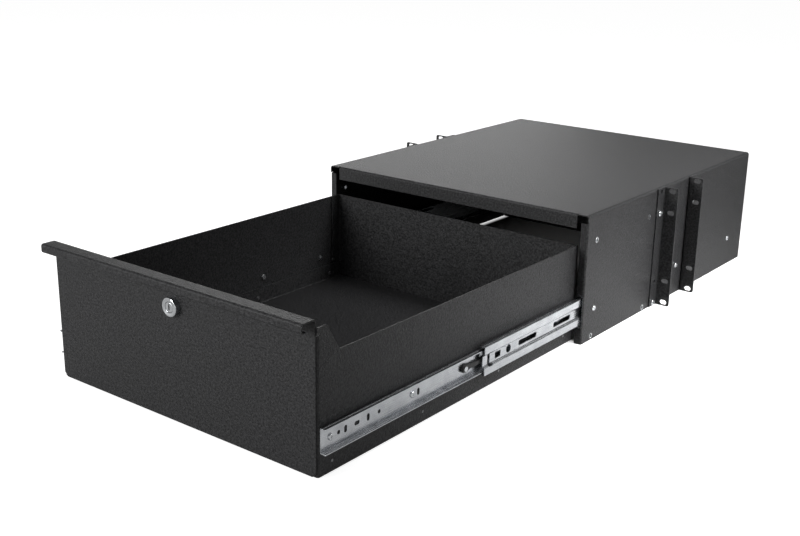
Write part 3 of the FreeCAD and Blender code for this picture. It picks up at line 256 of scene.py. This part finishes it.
SMALL_METALS = {
    "zinc_fastener": ("zinc_plated_screw", "#B4B7BA", "#E2E4E6", 0.8 * MM, 0.18, 0.34),
    "black_rivet": ("blackened_steel", "#4A4A4C", "#A2A2A4", 0.8 * MM, 0.24, 0.4),
    "ball_steel": ("ground_ball_steel", "#C9CBCE", "#DCDEE0", 1.5 * MM, 0.06, 0.12),
    "chrome": ("chromed_zinc_casting", "#BFC1C4", "#D8DADC", 2.5 * MM, 0.08, 0.16),
}
for slot_name, look in SMALL_METALS.items():
    finishes[slot_name] = tumbled_metal(*look)
print(len(SMALL_METALS), "small metal finishes")

# %% [markdown]
# ## Black acetal
#
# The release levers are moulded acetal, a slippery plastic.  A spark eroded mould gives it a fine
# even texture with a dull sheen.

# %% Plastic
SPARK = 0.6 * MM
material, tree, output = new_material("moulded_black_acetal")
place = add_node(tree, "ShaderNodeTexCoord").outputs["Object"]
spark = add_node(tree, "ShaderNodeTexNoise", {
    "Vector": place, "Scale": 1 / SPARK, "Detail": 2,
}).outputs["Fac"]
colour = add_node(tree, "ShaderNodeMix", {
    0: spark, MIX_A: linear("#0B0B0B"), MIX_B: linear("#1B1B1B"),
}, data_type="RGBA")
bump = add_node(tree, "ShaderNodeBump", {"Height": spark, "Strength": 0.3, "Distance": 0.1 * MM})
resin = add_node(tree, "ShaderNodeBsdfPrincipled", {
    "Base Color": colour.outputs[MIXED], "Roughness": 0.45, "Normal": bump.outputs["Normal"], "IOR": 1.48,
})
tree.links.new(resin.outputs["BSDF"], output.inputs["Surface"])
finishes["black_plastic"] = material
print(len(finishes), "finishes in all")

# %% [markdown]
# ## Giving each piece its finish
#
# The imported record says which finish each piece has.  A piece is painted by putting the material
# in its one material slot.

# %% Paint
def paint(piece, slot_name):
    """One finish all over a piece."""
    piece.data.materials.clear()
    piece.data.materials.append(finishes[slot_name])


for name, node in nodes.items():
    node.data.materials.clear()
    node.data.materials.append(finishes[slot_of[name]])
print("painted", len(nodes), "packed pieces")

# %% [markdown]
# ## Working by place
#
# In edit mode an operator works on what is selected, so faces and edges are picked by where they
# are: these helpers select by a test in millimetres, and turn a modifier into plain mesh.  Sizes
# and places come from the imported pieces.  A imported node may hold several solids, such as all the
# screws of one slide, so one helper walks from vertex to vertex to find each solid and its box.

# %% Helpers for modelling
SMOOTH = math.radians(40)
WELD = 0.002 * MM


def solids_of(node):
    """The low and high corners, in mm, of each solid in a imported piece, from front to rear and upwards."""
    mesh = bmesh.new()
    mesh.from_mesh(nodes[node].data)
    bmesh.ops.remove_doubles(mesh, verts=mesh.verts, dist=WELD)
    boxes = []
    waiting = set(mesh.verts)
    while waiting:
        reached = [waiting.pop()]
        for vertex in reached:
            near = {edge.other_vert(vertex) for edge in vertex.link_edges} & waiting
            waiting -= near
            reached.extend(near)
        ways = list(zip(*(vertex.co for vertex in reached)))
        boxes.append([Vector([round(end(way) / MM, 3) for way in ways]) for end in (min, max)])
    mesh.free()
    return sorted(boxes, key=lambda box: (box[0].y, box[0].z))


def only(piece):
    """Make one object the only one selected, and the active one."""
    bpy.ops.object.select_all(action="DESELECT")
    piece.select_set(True)
    bpy.context.view_layer.objects.active = piece


def pick_faces(test):
    """In edit mode, select only the faces whose centre in mm and normal pass a test."""
    bpy.ops.mesh.select_mode(type="FACE")
    bpy.ops.mesh.select_all(action="DESELECT")
    mesh = bmesh.from_edit_mesh(bpy.context.edit_object.data)
    for face in mesh.faces:
        face.select_set(test(face.calc_center_median() / MM, face.normal))
    bmesh.update_edit_mesh(bpy.context.edit_object.data)


def pick_edges(test):
    """In edit mode, select only the edges whose two ends in mm pass a test."""
    bpy.ops.mesh.select_mode(type="EDGE")
    bpy.ops.mesh.select_all(action="DESELECT")
    mesh = bmesh.from_edit_mesh(bpy.context.edit_object.data)
    for edge in mesh.edges:
        edge.select_set(test(edge.verts[0].co / MM, edge.verts[1].co / MM))
    bmesh.update_edit_mesh(bpy.context.edit_object.data)


def apply_new(piece, kind, **settings):
    """Add a modifier with these settings and turn it into plain mesh."""
    modifier = piece.modifiers.new(kind.lower(), kind)
    for name, value in settings.items():
        setattr(modifier, name, value)
    only(piece)
    bpy.ops.object.modifier_apply(modifier=modifier.name)


def smooth_shade(piece):
    """Smooth shading that keeps edges over 40 degrees sharp and flat faces flat."""
    only(piece)
    bpy.ops.object.shade_smooth_by_angle(angle=SMOOTH)
    apply_new(piece, "WEIGHTED_NORMAL", keep_sharp=True, weight=100)


print("the slides have", len(solids_of("right_outer_balls")), "outer balls a side")

# %% [markdown]
# A finished piece is handed over: it gets its finish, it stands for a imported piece, and it rides
# with the same body.  What repeats is modelled once, and each copy has its own mesh, already moved
# to its place.  A mirrored copy would be inside out, so its faces are turned round.

# %% Helpers for handing over
def stand_for(piece, node):
    """Give a piece the finish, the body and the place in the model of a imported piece."""
    paint(piece, slot_of[node])
    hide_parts(node)
    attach(piece, body_of[node])


def set_copy(model, name, node, move):
    """A copy of a model with its own mesh, moved by a matrix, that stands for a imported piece."""
    mesh = model.data.copy()
    mesh.transform(move)
    if move.determinant() < 0:
        mesh.flip_normals()
    piece = bpy.data.objects.new(name, mesh)
    bpy.context.scene.collection.objects.link(piece)
    stand_for(piece, node)


print(len(set(body_of.values())), "bodies to ride with")

# %% [markdown]
# ## Broken edges
#
# Folded sheet has no perfectly sharp edge: the punch rounds one side of each cut, and the coating
# rounds it more.  That narrow round catches the light and draws the thin pale lines by which the
# eye reads sheet metal.  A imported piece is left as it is, so each sheet piece is copied, its loose
# triangles are joined, flat areas are merged, and its edges get a narrow bevel.  The copy then
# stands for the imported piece.

# %% Helper: a copy with broken edges
SHARP = math.radians(28)
FLAT = math.radians(0.5)


def edged_copy(name, width, segments=2):
    """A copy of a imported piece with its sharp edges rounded, standing for that piece."""
    piece = bpy.data.objects.new(f"{name}_finished", nodes[name].data.copy())
    bpy.context.scene.collection.objects.link(piece)
    only(piece)
    bpy.ops.object.mode_set(mode="EDIT")
    bpy.ops.mesh.select_all(action="SELECT")
    bpy.ops.mesh.remove_doubles(threshold=WELD)
    bpy.ops.mesh.dissolve_limited(angle_limit=FLAT)
    bpy.ops.object.mode_set(mode="OBJECT")
    apply_new(piece, "BEVEL", width=width, segments=segments, limit_method="ANGLE", angle_limit=SHARP)
    smooth_shade(piece)
    stand_for(piece, name)
    return piece


print("edges over", round(math.degrees(SHARP)), "degrees are rounded")

# %% Sheet pieces
INNER_EDGE, OUTER_EDGE = 0.3 * MM, 0.35 * MM
SHEETS = {
    "enclosure_shell": INNER_EDGE, "enclosure_rear_panel": INNER_EDGE,
    "drawer_front": OUTER_EDGE, "drawer_floor": INNER_EDGE, "drawer_rear_wall": INNER_EDGE,
    "left_drawer_side": OUTER_EDGE, "right_drawer_side": OUTER_EDGE,
}
for side in SIDES:
    for ear in ("front", "rear"):
        SHEETS[f"{side}_{ear}_rack_ear"] = OUTER_EDGE
sheets = {name: edged_copy(name, width) for name, width in SHEETS.items()}
print(len(sheets), "sheet pieces edged")

# %% [markdown]
# ## The front panel's ends
#
# The front panel is cut a little narrower than the drawer, so that the bend of each side shows as
# a thin upright band beside it.  The ends of the panel are picked and moved inwards.

# %% Trim the front panel
TRIM = 1.7
END_ZONE = 190
only(sheets["drawer_front"])
bpy.ops.object.mode_set(mode="EDIT")
for sign in SIDES.values():
    pick_edges(lambda a, b: sign * a.x > END_ZONE and sign * b.x > END_ZONE)
    bpy.ops.transform.translate(value=(-sign * TRIM * MM, 0, 0))
bpy.ops.object.mode_set(mode="OBJECT")
print("front panel is", round(sheets["drawer_front"].dimensions.x / MM, 1), "mm wide")

# %% [markdown]
# ## Slide members and small parts
#
# The outer and inner slide members, the nuts, the levers and the back of the lock already have
# their shape, and only their edges change.  Rolled strip has a finer edge than punched sheet, and
# a moulded lever has a fuller round than either, so each kind has its own width and its own number
# of steps in the round.

# %% Slide members and small parts
PAIRED = {
    "cabinet_member": (0.18, 2), "drawer_member": (0.18, 2), "drawer_member_nuts": (0.3, 2),
    "release_lever": (0.5, 3), "lever_pivot": (0.3, 3), "rivet_nuts": (0.25, 2),
}
SINGLE = {"lock_nut": (0.4, 2), "lock_cam": (0.3, 2), "lock_cam_screw": (0.3, 2)}
small = {f"{side}_{part}": edge for side in SIDES for part, edge in PAIRED.items()} | SINGLE
for name, (width, segments) in small.items():
    edged_copy(name, width * MM, segments)
print(len(small), "slide members and small parts edged")

# %% [markdown]
# ## The middle members
#
# A ball-bearing slide has three members of rolled strip, 1.2 mm thick, that run inside each other.
# The middle one is an open channel with a groove rolled along its web for stiffness, a hollow
# along each flange in which the balls run, and a hem at each edge.  Rolling makes the same section
# all along, so the section is drawn once: one vertex is extruded from corner to corner, the line is
# extruded along the slide, its corners are rounded, and Solidify gives the strip its thickness.
# The punched windows are cut out after that, as in the factory.

# %% Section of the middle member
GAUGE = 1.2
HEM_REACH = 1.6
HALF_SECTION = [
    (7.5, 5.8), (10.4, 8.7), (10.4, 17.7), (9.7, 18.4), (9.1, 18.4), (8.6, 17.9),
    (7.2, 17.9), (6.7, 18.4), (2.8, 18.4), (HEM_REACH, 17.2), (HEM_REACH, 15.5),
]
section = [(x, -z) for x, z in reversed(HALF_SECTION)] + HALF_SECTION
low, high = solids_of("right_middle_member")[0]
front_end, length = low.y, high.y - low.y
slide_centre = (low.z + high.z) / 2
drawer_wall = low.x - HEM_REACH
bpy.ops.object.select_all(action="DESELECT")
bpy.ops.mesh.primitive_plane_add(size=MM, location=(0, 0, 0))
strip = bpy.context.active_object
bpy.ops.object.mode_set(mode="EDIT")
bpy.ops.mesh.select_mode(type="VERT")
bpy.ops.mesh.select_all(action="SELECT")
bpy.ops.mesh.merge(type="CENTER")
corners = [Vector((drawer_wall + x, front_end, slide_centre + z)) * MM for x, z in section]
bpy.ops.transform.translate(value=corners[0])
for here, there in zip(corners, corners[1:]):
    bpy.ops.mesh.extrude_vertices_move(TRANSFORM_OT_translate={"value": there - here})
print("section of", len(section), "corners")

# %% [markdown]
# The line is extruded along the slide, and its bends get a small radius.  The outermost faces and
# the hems keep theirs, since the section already goes round them in short steps.

# %% Strip with rounded bends
BEND = 0.28
NEAR = 0.1
hem_x, hem_top = drawer_wall + HEM_REACH, max(z for x, z in HALF_SECTION)
bpy.ops.mesh.select_all(action="SELECT")
bpy.ops.mesh.extrude_edges_move(TRANSFORM_OT_translate={"value": Vector((0, length, 0)) * MM})
pick_edges(lambda a, b: (
    abs(a.y - b.y) > 1 and abs(a.z - slide_centre) < hem_top - NEAR and abs(a.x - hem_x) > NEAR
))
bpy.ops.mesh.bevel(offset=BEND * MM, segments=2)
bpy.ops.mesh.select_all(action="SELECT")
bpy.ops.mesh.normals_make_consistent(inside=False)
bpy.ops.object.mode_set(mode="OBJECT")
print("strip is", round(strip.dimensions.y / MM), "mm long")

# %% [markdown]
# Solidify gives the strip its thickness on the inner side, so the outer faces stay where the
# section put them, and the balls keep their room.

# %% Thickness, on the inner side of the section
before = strip.dimensions.z / MM
apply_new(strip, "SOLIDIFY", thickness=GAUGE * MM, offset=-1, use_even_offset=True)
print("strip", GAUGE, "mm thick; height was", round(before, 1), "and is", round(strip.dimensions.z / MM, 1))

# %% [markdown]
# The web is punched before it is rolled.  Near the front end a window shaped like a square bracket
# forms a spring catch, a small window holds a tab, and a round hole and two long slots let a
# screwdriver through to the screws behind.  Each opening is cut with a box whose upright edges are
# rounded, made long enough to go right through.

# %% Windows punched in the web
THROUGH = 40
WINDOWS = [
    # start and end behind the member's front end, low and high from the slide's centre, corner
    (9.6, 14.2, -9.0, 9.0, 0.8),
    (12.0, 18.8, 6.6, 9.0, 0.5),
    (12.0, 18.8, -9.0, -6.6, 0.5),
    (25.5, 37.5, -4.0, 4.0, 1.3),
    (49.8, 60.2, -5.2, 5.2, 5.1),
    (77.5, 118.5, -3.4, 3.4, 2.0),
    (159.5, 200.5, -3.4, 3.4, 2.0),
]
for start, end, low_z, high_z, corner in WINDOWS:
    bpy.ops.object.select_all(action="DESELECT")
    bpy.ops.mesh.primitive_cube_add(size=1)
    punch = bpy.context.active_object
    punch.scale = (THROUGH * MM, (end - start) * MM, (high_z - low_z) * MM)
    centre = (drawer_wall, front_end + (start + end) / 2, slide_centre + (low_z + high_z) / 2)
    punch.location = Vector(centre) * MM
    bpy.ops.object.transform_apply()
    bpy.ops.object.mode_set(mode="EDIT")
    pick_edges(lambda a, b: abs(a.x - b.x) > 1)
    bpy.ops.mesh.bevel(offset=corner * MM, segments=4)
    bpy.ops.object.mode_set(mode="OBJECT")
    apply_new(strip, "BOOLEAN", object=punch, operation="DIFFERENCE", solver="EXACT")
    bpy.data.objects.remove(punch)
print(len(WINDOWS), "cuts,", len(strip.data.polygons), "faces")

# %% [markdown]
# The punched edges get a fine round, and the finished strip is copied to the right slide and,
# mirrored, to the left one.

# %% Two middle members
apply_new(strip, "BEVEL", width=0.15 * MM, segments=2, limit_method="ANGLE", angle_limit=SHARP)
smooth_shade(strip)
for side, sign in SIDES.items():
    set_copy(strip, f"{side}_middle_member_rolled", f"{side}_middle_member", Matrix.Scale(sign, 4, (1, 0, 0)))
bpy.data.objects.remove(strip)
print(len(SIDES), "middle members set in place")

# %% [markdown]
# ## Screws with domed heads
#
# The slides are held by low pan heads with a cross recess, and the rack ears by larger ones.  A
# header strikes the dome and the cross in one blow.  Here the head is a cylinder whose outer rim is
# bevelled into a dome, the shank is extruded from an inset on its other end, and two thin tapered
# boxes cut the cross.

# %% A cylinder along a centre line
def cylinder(radius, start, end, axis, centre, corners):
    """A cylinder primitive along X or Y, from start to end in mm, about a centre line."""
    halfway = (start + end) / 2
    if axis == "X":
        place, turn = (halfway, *centre), (0, math.radians(90), 0)
    else:
        place, turn = (centre[0], halfway, centre[1]), (math.radians(-90), 0, 0)
    bpy.ops.object.select_all(action="DESELECT")
    bpy.ops.mesh.primitive_cylinder_add(
        vertices=corners, radius=radius * MM, depth=abs(end - start) * MM,
        location=Vector(place) * MM, rotation=turn,
    )
    bpy.ops.object.transform_apply()
    return bpy.context.active_object


# %% Pan head screw
ARM_LENGTH, ARM_WIDTH, RECESS = 1.1, 0.24, 1.3


def pan_screw(radius, seat, top, tip, shank):
    """A pan head screw along X: its head from seat to top, its shank from there to tip."""
    screw = cylinder(radius, seat, top, "X", (0, 0), 32)
    bpy.ops.object.mode_set(mode="EDIT")
    pick_edges(lambda a, b: a.x > top - 0.01 and b.x > top - 0.01)
    bpy.ops.mesh.bevel(offset=0.8 * (top - seat) * MM, segments=5)
    pick_faces(lambda c, n: n.x < -0.9)
    bpy.ops.mesh.inset(thickness=(radius - shank) * MM)
    bpy.ops.mesh.extrude_region_move(TRANSFORM_OT_translate={"value": Vector((tip - seat, 0, 0)) * MM})
    bpy.ops.object.mode_set(mode="OBJECT")
    for along_y, along_z in ((ARM_LENGTH, ARM_WIDTH), (ARM_WIDTH, ARM_LENGTH)):
        bpy.ops.object.select_all(action="DESELECT")
        bpy.ops.mesh.primitive_cube_add(size=1, location=(top * MM, 0, 0))
        cross = bpy.context.active_object
        cross.scale = (RECESS * MM, along_y * radius * MM, along_z * radius * MM)
        bpy.ops.object.transform_apply()
        bpy.ops.object.mode_set(mode="EDIT")
        pick_faces(lambda c, n: n.x < -0.9)
        bpy.ops.transform.resize(value=(1, 0.55, 0.8))
        bpy.ops.object.mode_set(mode="OBJECT")
        apply_new(screw, "BOOLEAN", object=cross, operation="DIFFERENCE", solver="EXACT")
        bpy.data.objects.remove(cross)
    smooth_shade(screw)
    print("screw", round(2 * radius, 1), "mm across its head,", len(screw.data.polygons), "faces")
    return screw


# %% [markdown]
# Each kind of screw is modelled once on the right, at the height and depth where Y and Z are zero,
# and is then copied to the middle of each packed screw.  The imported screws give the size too: a
# head is as high as their box, and the shank reaches as deep.  The seat is the face on which
# the head bears.

# %% Set out the screws
def set_out(model, name, suffix, centres):
    """Copies of a model made at Y = Z = 0 on the right, at each centre (y, z) in mm, on both sides."""
    for side, sign in SIDES.items():
        for number, (y, z) in enumerate(centres):
            move = Matrix.Scale(sign, 4, (1, 0, 0)) @ Matrix.Translation(Vector((0, y, z)) * MM)
            set_copy(model, f"{side}_{name}_{number + 1}", f"{side}_{suffix}", move)
    print(2 * len(centres), name)


EAR_SHEET = 2.0
shell_face = solids_of("enclosure_shell")[0][1].x
SCREWS = [
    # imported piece, name, seat of the head, radius of the shank
    ("cabinet_member_screws", "cabinet_screw", shell_face, 2.0),
    ("drawer_member_screws", "slide_screw", drawer_wall + GAUGE, 2.0),
    ("rack_ear_screws", "ear_screw", shell_face + EAR_SHEET, 2.4),
]
for suffix, name, seat, shank in SCREWS:
    boxes = solids_of(f"right_{suffix}")
    low, high = boxes[0]
    screw = pan_screw((high.z - low.z) / 2, seat, high.x, low.x, shank)
    set_out(screw, name, suffix, [((low + high) / 2).yz for low, high in boxes])
    bpy.data.objects.remove(screw)

# %% [markdown]
# ## Blind rivets
#
# Black blind rivets join the drawer's floor and rear wall to its sides.  The domed head is inside,
# with the small hollow that the pulled mandrel leaves in it.

# %% One rivet
RIVET_HEAD = 1.1
HOLLOW, SHANK_STEP = 1.0, 1.4
boxes = solids_of("right_floor_rivets")
low, high = boxes[0]
dome, seat, tip = low.x, low.x + RIVET_HEAD, high.x
rivet = cylinder((high.z - low.z) / 2, dome, seat, "X", (0, 0), 24)
bpy.ops.object.mode_set(mode="EDIT")
pick_edges(lambda a, b: a.x < dome + 0.01 and b.x < dome + 0.01)
bpy.ops.mesh.bevel(offset=0.9 * MM, segments=4)
pick_faces(lambda c, n: n.x < -0.99)
bpy.ops.mesh.inset(thickness=HOLLOW * MM)
bpy.ops.mesh.extrude_region_move(TRANSFORM_OT_translate={"value": (0.6 * MM, 0, 0)})
pick_faces(lambda c, n: n.x > 0.95 and c.x > seat - 0.1)
bpy.ops.mesh.inset(thickness=SHANK_STEP * MM)
bpy.ops.mesh.extrude_region_move(TRANSFORM_OT_translate={"value": ((tip - seat) * MM, 0, 0)})
bpy.ops.object.mode_set(mode="OBJECT")
smooth_shade(rivet)
print("rivet", round(tip - dome, 1), "mm long,", len(rivet.data.polygons), "faces")

# %% Set out the rivets
set_out(rivet, "floor_rivet", "floor_rivets", [((low + high) / 2).yz for low, high in boxes])
low, high = solids_of("rear_wall_rivets")[0]
for side, sign in SIDES.items():
    move = Matrix.Scale(sign, 4, (1, 0, 0)) @ Matrix.Translation(Vector((0, *((low + high) / 2).yz)) * MM)
    set_copy(rivet, f"{side}_wall_rivet", "rear_wall_rivets", move)
bpy.data.objects.remove(rivet)
print(len(SIDES), "wall_rivet")

# %% [markdown]
# ## Bearing balls
#
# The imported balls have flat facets, because only their size matters there.  Real ones are ground
# round, so one is made as an icosphere, smooth shaded, and set in each pocket of the rows.

# %% Balls
for row in ("outer", "inner"):
    boxes = solids_of(f"right_{row}_balls")
    low, high = boxes[0]
    radius, middle_x = (high.z - low.z) / 2, (low.x + high.x) / 2
    bpy.ops.object.select_all(action="DESELECT")
    bpy.ops.mesh.primitive_ico_sphere_add(subdivisions=2, radius=radius * MM, location=(middle_x * MM, 0, 0))
    bpy.ops.object.transform_apply()
    ball = bpy.context.active_object
    bpy.ops.object.shade_smooth()
    centres = sorted([((low + high) / 2).yz for low, high in boxes], key=lambda c: (c[1], c[0]))
    set_out(ball, f"{row}_ball", f"{row}_balls", centres)
    bpy.data.objects.remove(ball)

# %% [markdown]
# ## The lock
#
# A cam lock is a die-cast barrel with a round head, chromed.  The rim of the head is rounded and
# its face is slightly dished round the plug, which turns in it and has the keyway.  Both start as
# cylinders.  The head's face is inset in steps, each a little deeper, and the last step goes in as
# the bore for the plug.  The keyway is cut with a narrow box.

# %% Lock head and barrel
HEAD_DEPTH, BARREL_DEPTH, BARREL_STEP = 7.0, 9.0, 1.5
low, high = solids_of("lock_housing")[0]
front, lock_height = low.y, (low.z + high.z) / 2
back = front + HEAD_DEPTH
head = cylinder(high.x, front, back, "Y", (0, lock_height), 64)
bpy.ops.object.mode_set(mode="EDIT")
pick_edges(lambda a, b: a.y < front + 0.01 and b.y < front + 0.01)
bpy.ops.mesh.bevel(offset=1.2 * MM, segments=4)
pick_faces(lambda c, n: n.y < -0.99 and c.y < front + 0.1)
for thickness, depth in ((0.9, 0), (0.5, -0.35), (1.9, -0.15), (0.2, -0.1)):
    bpy.ops.mesh.inset(thickness=thickness * MM, depth=depth * MM)
bpy.ops.mesh.extrude_region_move(TRANSFORM_OT_translate={"value": (0, 6 * MM, 0)})
pick_faces(lambda c, n: n.y > 0.95 and abs(c.y - back) < 0.1)
bpy.ops.mesh.inset(thickness=BARREL_STEP * MM)
bpy.ops.mesh.extrude_region_move(TRANSFORM_OT_translate={"value": (0, BARREL_DEPTH * MM, 0)})
bpy.ops.object.mode_set(mode="OBJECT")
smooth_shade(head)
set_copy(head, "lock_head_and_barrel", "lock_housing", Matrix.Identity(4))
print("lock head", round(head.dimensions.x / MM, 1), "mm across")
bpy.data.objects.remove(head)

# %% [markdown]
# The plug stands a little back from the head's rim, and its own rim is rounded more finely.  A
# real keyway has a warded outline that fits one make of key.  A plain slot with rounded corners
# looks the same from where the lock is seen.

# %% Lock plug and keyway
PLUG_FRONT, PLUG_BACK = 0.6, 0.2
KEYWAY = Vector((1.8, 8, 7))
low, high = solids_of("lock_plug")[0]
plug_front, plug_back = front + PLUG_FRONT, front + HEAD_DEPTH + BARREL_DEPTH + PLUG_BACK
plug = cylinder(high.x, plug_front, plug_back, "Y", (0, lock_height), 48)
bpy.ops.object.mode_set(mode="EDIT")
pick_edges(lambda a, b: a.y < plug_front + 0.01 and b.y < plug_front + 0.01)
bpy.ops.mesh.bevel(offset=0.5 * MM, segments=3)
bpy.ops.object.mode_set(mode="OBJECT")
bpy.ops.object.select_all(action="DESELECT")
bpy.ops.mesh.primitive_cube_add(size=1, location=Vector((0, front + 2.5, lock_height)) * MM)
keyway = bpy.context.active_object
keyway.scale = KEYWAY * MM
bpy.ops.object.transform_apply()
bpy.ops.object.mode_set(mode="EDIT")
pick_edges(lambda a, b: abs(a.y - b.y) > 1)
bpy.ops.mesh.bevel(offset=0.5 * MM, segments=3)
bpy.ops.object.mode_set(mode="OBJECT")
apply_new(plug, "BOOLEAN", object=keyway, operation="DIFFERENCE", solver="EXACT")
bpy.data.objects.remove(keyway)
smooth_shade(plug)
set_copy(plug, "lock_plug_with_keyway", "lock_plug", Matrix.Identity(4))
print("lock plug", round(plug.dimensions.y / MM, 1), "mm long")
bpy.data.objects.remove(plug)

# %% [markdown]
# ## The studio
#
# Black things are seen by what they reflect, so the surround does two jobs.  Its light on the
# object is a low, even level, so that black stays black.  What the camera and the
# reflections see is white at the horizon and falls to grey higher up: upright walls
# mirror the bright horizon, and the flat top mirrors the darker part.  The kind of ray decides which
# of the two levels it gets.

# %% World
LIT_LEVEL = 0.24
world = bpy.data.worlds.new("pale_surround")
bpy.context.scene.world = world
world.use_nodes = True
tree = world.node_tree
tree.nodes.clear()
rays = add_node(tree, "ShaderNodeLightPath").outputs
seen = add_node(tree, "ShaderNodeMath", {
    0: rays["Is Camera Ray"], 1: rays["Is Glossy Ray"],
}, operation="MAXIMUM")
seen = add_node(tree, "ShaderNodeMath", {
    0: seen.outputs[0], 1: rays["Is Transmission Ray"],
}, operation="MAXIMUM")
toward = add_node(tree, "ShaderNodeTexCoord").outputs["Generated"]
height = add_node(tree, "ShaderNodeSeparateXYZ", {"Vector": toward})
level = add_node(tree, "ShaderNodeMapRange", {
    "Value": height.outputs["Z"], "From Min": 0.06, "From Max": 0.42, "To Min": 1.0, "To Max": 0.15,
})
lit = add_node(tree, "ShaderNodeBackground", {"Color": linear("#FFFFFF"), "Strength": LIT_LEVEL})
shown = add_node(tree, "ShaderNodeBackground", {
    "Color": linear("#FFFFFF"), "Strength": level.outputs["Result"],
})
either = add_node(tree, "ShaderNodeMixShader", {0: seen.outputs[0], 1: lit.outputs[0], 2: shown.outputs[0]})
add_node(tree, "ShaderNodeOutputWorld", {"Surface": either.outputs[0]})
print("surround lights at", LIT_LEVEL, "of white")

# %% [markdown]
# The floor is a pale matt sheet that takes the object's shadow.  It also glows, so that the camera
# sees it as white as the surround.  Reflections in the object get only a small share of that glow,
# since paper close to a black box is not lit that strongly.  Under the enclosure the floor lies in
# the box's shade, and that shade is painted: the glow fades to nothing inside its footprint, where
# the distance from the enclosure's middle, along X and Y, is compared with half its size.

# %% Floor sheet
FLOOR_SIZE = 14.0
bpy.ops.object.select_all(action="DESELECT")
bpy.ops.mesh.primitive_plane_add(size=FLOOR_SIZE, location=(0, 0, cad_low.z - 0.5 * MM))
floor = bpy.context.active_object
floor.name = "studio_floor"
bpy.ops.object.transform_apply()
floor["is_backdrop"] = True
print("floor", FLOOR_SIZE, "m wide")

# %% Floor material
GLOW, GLOSSY_SHARE, FADE = 0.84, 0.12, 12 * MM
material, tree, output = new_material("pale_floor")
rays = add_node(tree, "ShaderNodeLightPath").outputs
glossy = add_node(tree, "ShaderNodeMath", {0: rays["Is Glossy Ray"], 1: GLOSSY_SHARE}, operation="MULTIPLY")
seen = add_node(tree, "ShaderNodeMath", {0: rays["Is Camera Ray"], 1: glossy.outputs[0]}, operation="MAXIMUM")
seen = add_node(tree, "ShaderNodeMath", {
    0: seen.outputs[0], 1: rays["Is Transmission Ray"],
}, operation="MAXIMUM")
box_low, box_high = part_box("enclosure_shell")
half = (box_high - box_low) / 2
place = add_node(tree, "ShaderNodeTexCoord").outputs["Object"]
away = add_node(tree, "ShaderNodeVectorMath", {0: place, 1: (box_low + box_high) / 2}, operation="SUBTRACT")
away = add_node(tree, "ShaderNodeVectorMath", {0: away.outputs[0]}, operation="ABSOLUTE")
away = add_node(tree, "ShaderNodeSeparateXYZ", {"Vector": away.outputs[0]})
beside = [
    add_node(tree, "ShaderNodeMapRange", {
        "Value": away.outputs[axis], "From Min": half[index] - FADE, "From Max": half[index],
    }).outputs[0]
    for index, axis in enumerate("XY")
]
# painted shade under the box: the glow is kept only outside the enclosure's footprint, fading over FADE
outside_painted_shade = add_node(tree, "ShaderNodeMath", {0: beside[0], 1: beside[1]}, operation="MAXIMUM")
amount = add_node(tree, "ShaderNodeMath", {0: seen.outputs[0], 1: outside_painted_shade.outputs[0]}, operation="MULTIPLY")
paper = add_node(tree, "ShaderNodeBsdfDiffuse", {"Color": linear("#C6C6C6")})
glow = add_node(tree, "ShaderNodeEmission", {"Color": linear("#FFFFFF"), "Strength": GLOW})
none = add_node(tree, "ShaderNodeEmission", {"Strength": 0.0})
extra = add_node(tree, "ShaderNodeMixShader", {0: amount.outputs[0], 1: none.outputs[0], 2: glow.outputs[0]})
both = add_node(tree, "ShaderNodeAddShader", {0: paper.outputs[0], 1: extra.outputs[0]})
tree.links.new(both.outputs[0], output.inputs["Surface"])
floor.data.materials.append(material)
print("floor glows at", GLOW, "for the camera,", round(GLOW * GLOSSY_SHARE, 2), "in reflections")

# %% [markdown]
# Four soft lamps do the rest.  One low behind and to the left puts a sheen on the flat top, and one
# overhead lifts the top and the drawer's floor.  A strong one at the front left lights the
# front panel and, at a slant, the side.  A small one on the right, with a narrow beam, reaches
# over the enclosure's side into the drawer.

# %% Lamps
def soft_lamp(name, place, target, size, power, spread=180, high=None):
    """An area lamp that looks at a point, its beam as wide as spread in degrees."""
    lamp = bpy.data.lights.new(name, "AREA")
    lamp.shape = "RECTANGLE"
    lamp.size = size
    lamp.size_y = high or size
    lamp.spread = math.radians(spread)
    lamp.energy = power
    holder = bpy.data.objects.new(name, lamp)
    bpy.context.scene.collection.objects.link(holder)
    holder.location = middle + Vector(place)
    holder.rotation_euler = (Vector(target) - Vector(place)).to_track_quat("-Z", "Y").to_euler()
    print(name, power, "W")


middle = (cad_low + cad_high) / 2
soft_lamp("back_softbox", (-1.8, 1.95, 0.66), (0, 0, 0), 1.6, 9, high=0.8)
soft_lamp("overhead_softbox", (-0.3, -0.1, 2.0), (0, 0, 0), 1.2, 8)
soft_lamp("front_left_softbox", (-0.9, -3.4, 1.07), (0, -0.2, 0), 1.2, 95)
soft_lamp("right_softbox", (1.15, 0.3, 0.95), (0.28, 0.2, -0.1), 0.4, 4, spread=50)

# %% [markdown]
# ## Output and sizes
#
# The Standard view shows a colour as it was written, with no film curve over it.  At the end the
# size of the dressed model is printed, to set beside the imported model's size printed after
# loading: the finish must not make the part any bigger.

# %% Output settings
bpy.context.scene.view_settings.view_transform = "Standard"
print("view transform:", bpy.context.scene.view_settings.view_transform)

# %% Sizes and finish
low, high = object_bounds()
print("visual size in mm:", [round(v / MM, 1) for v in high - low])
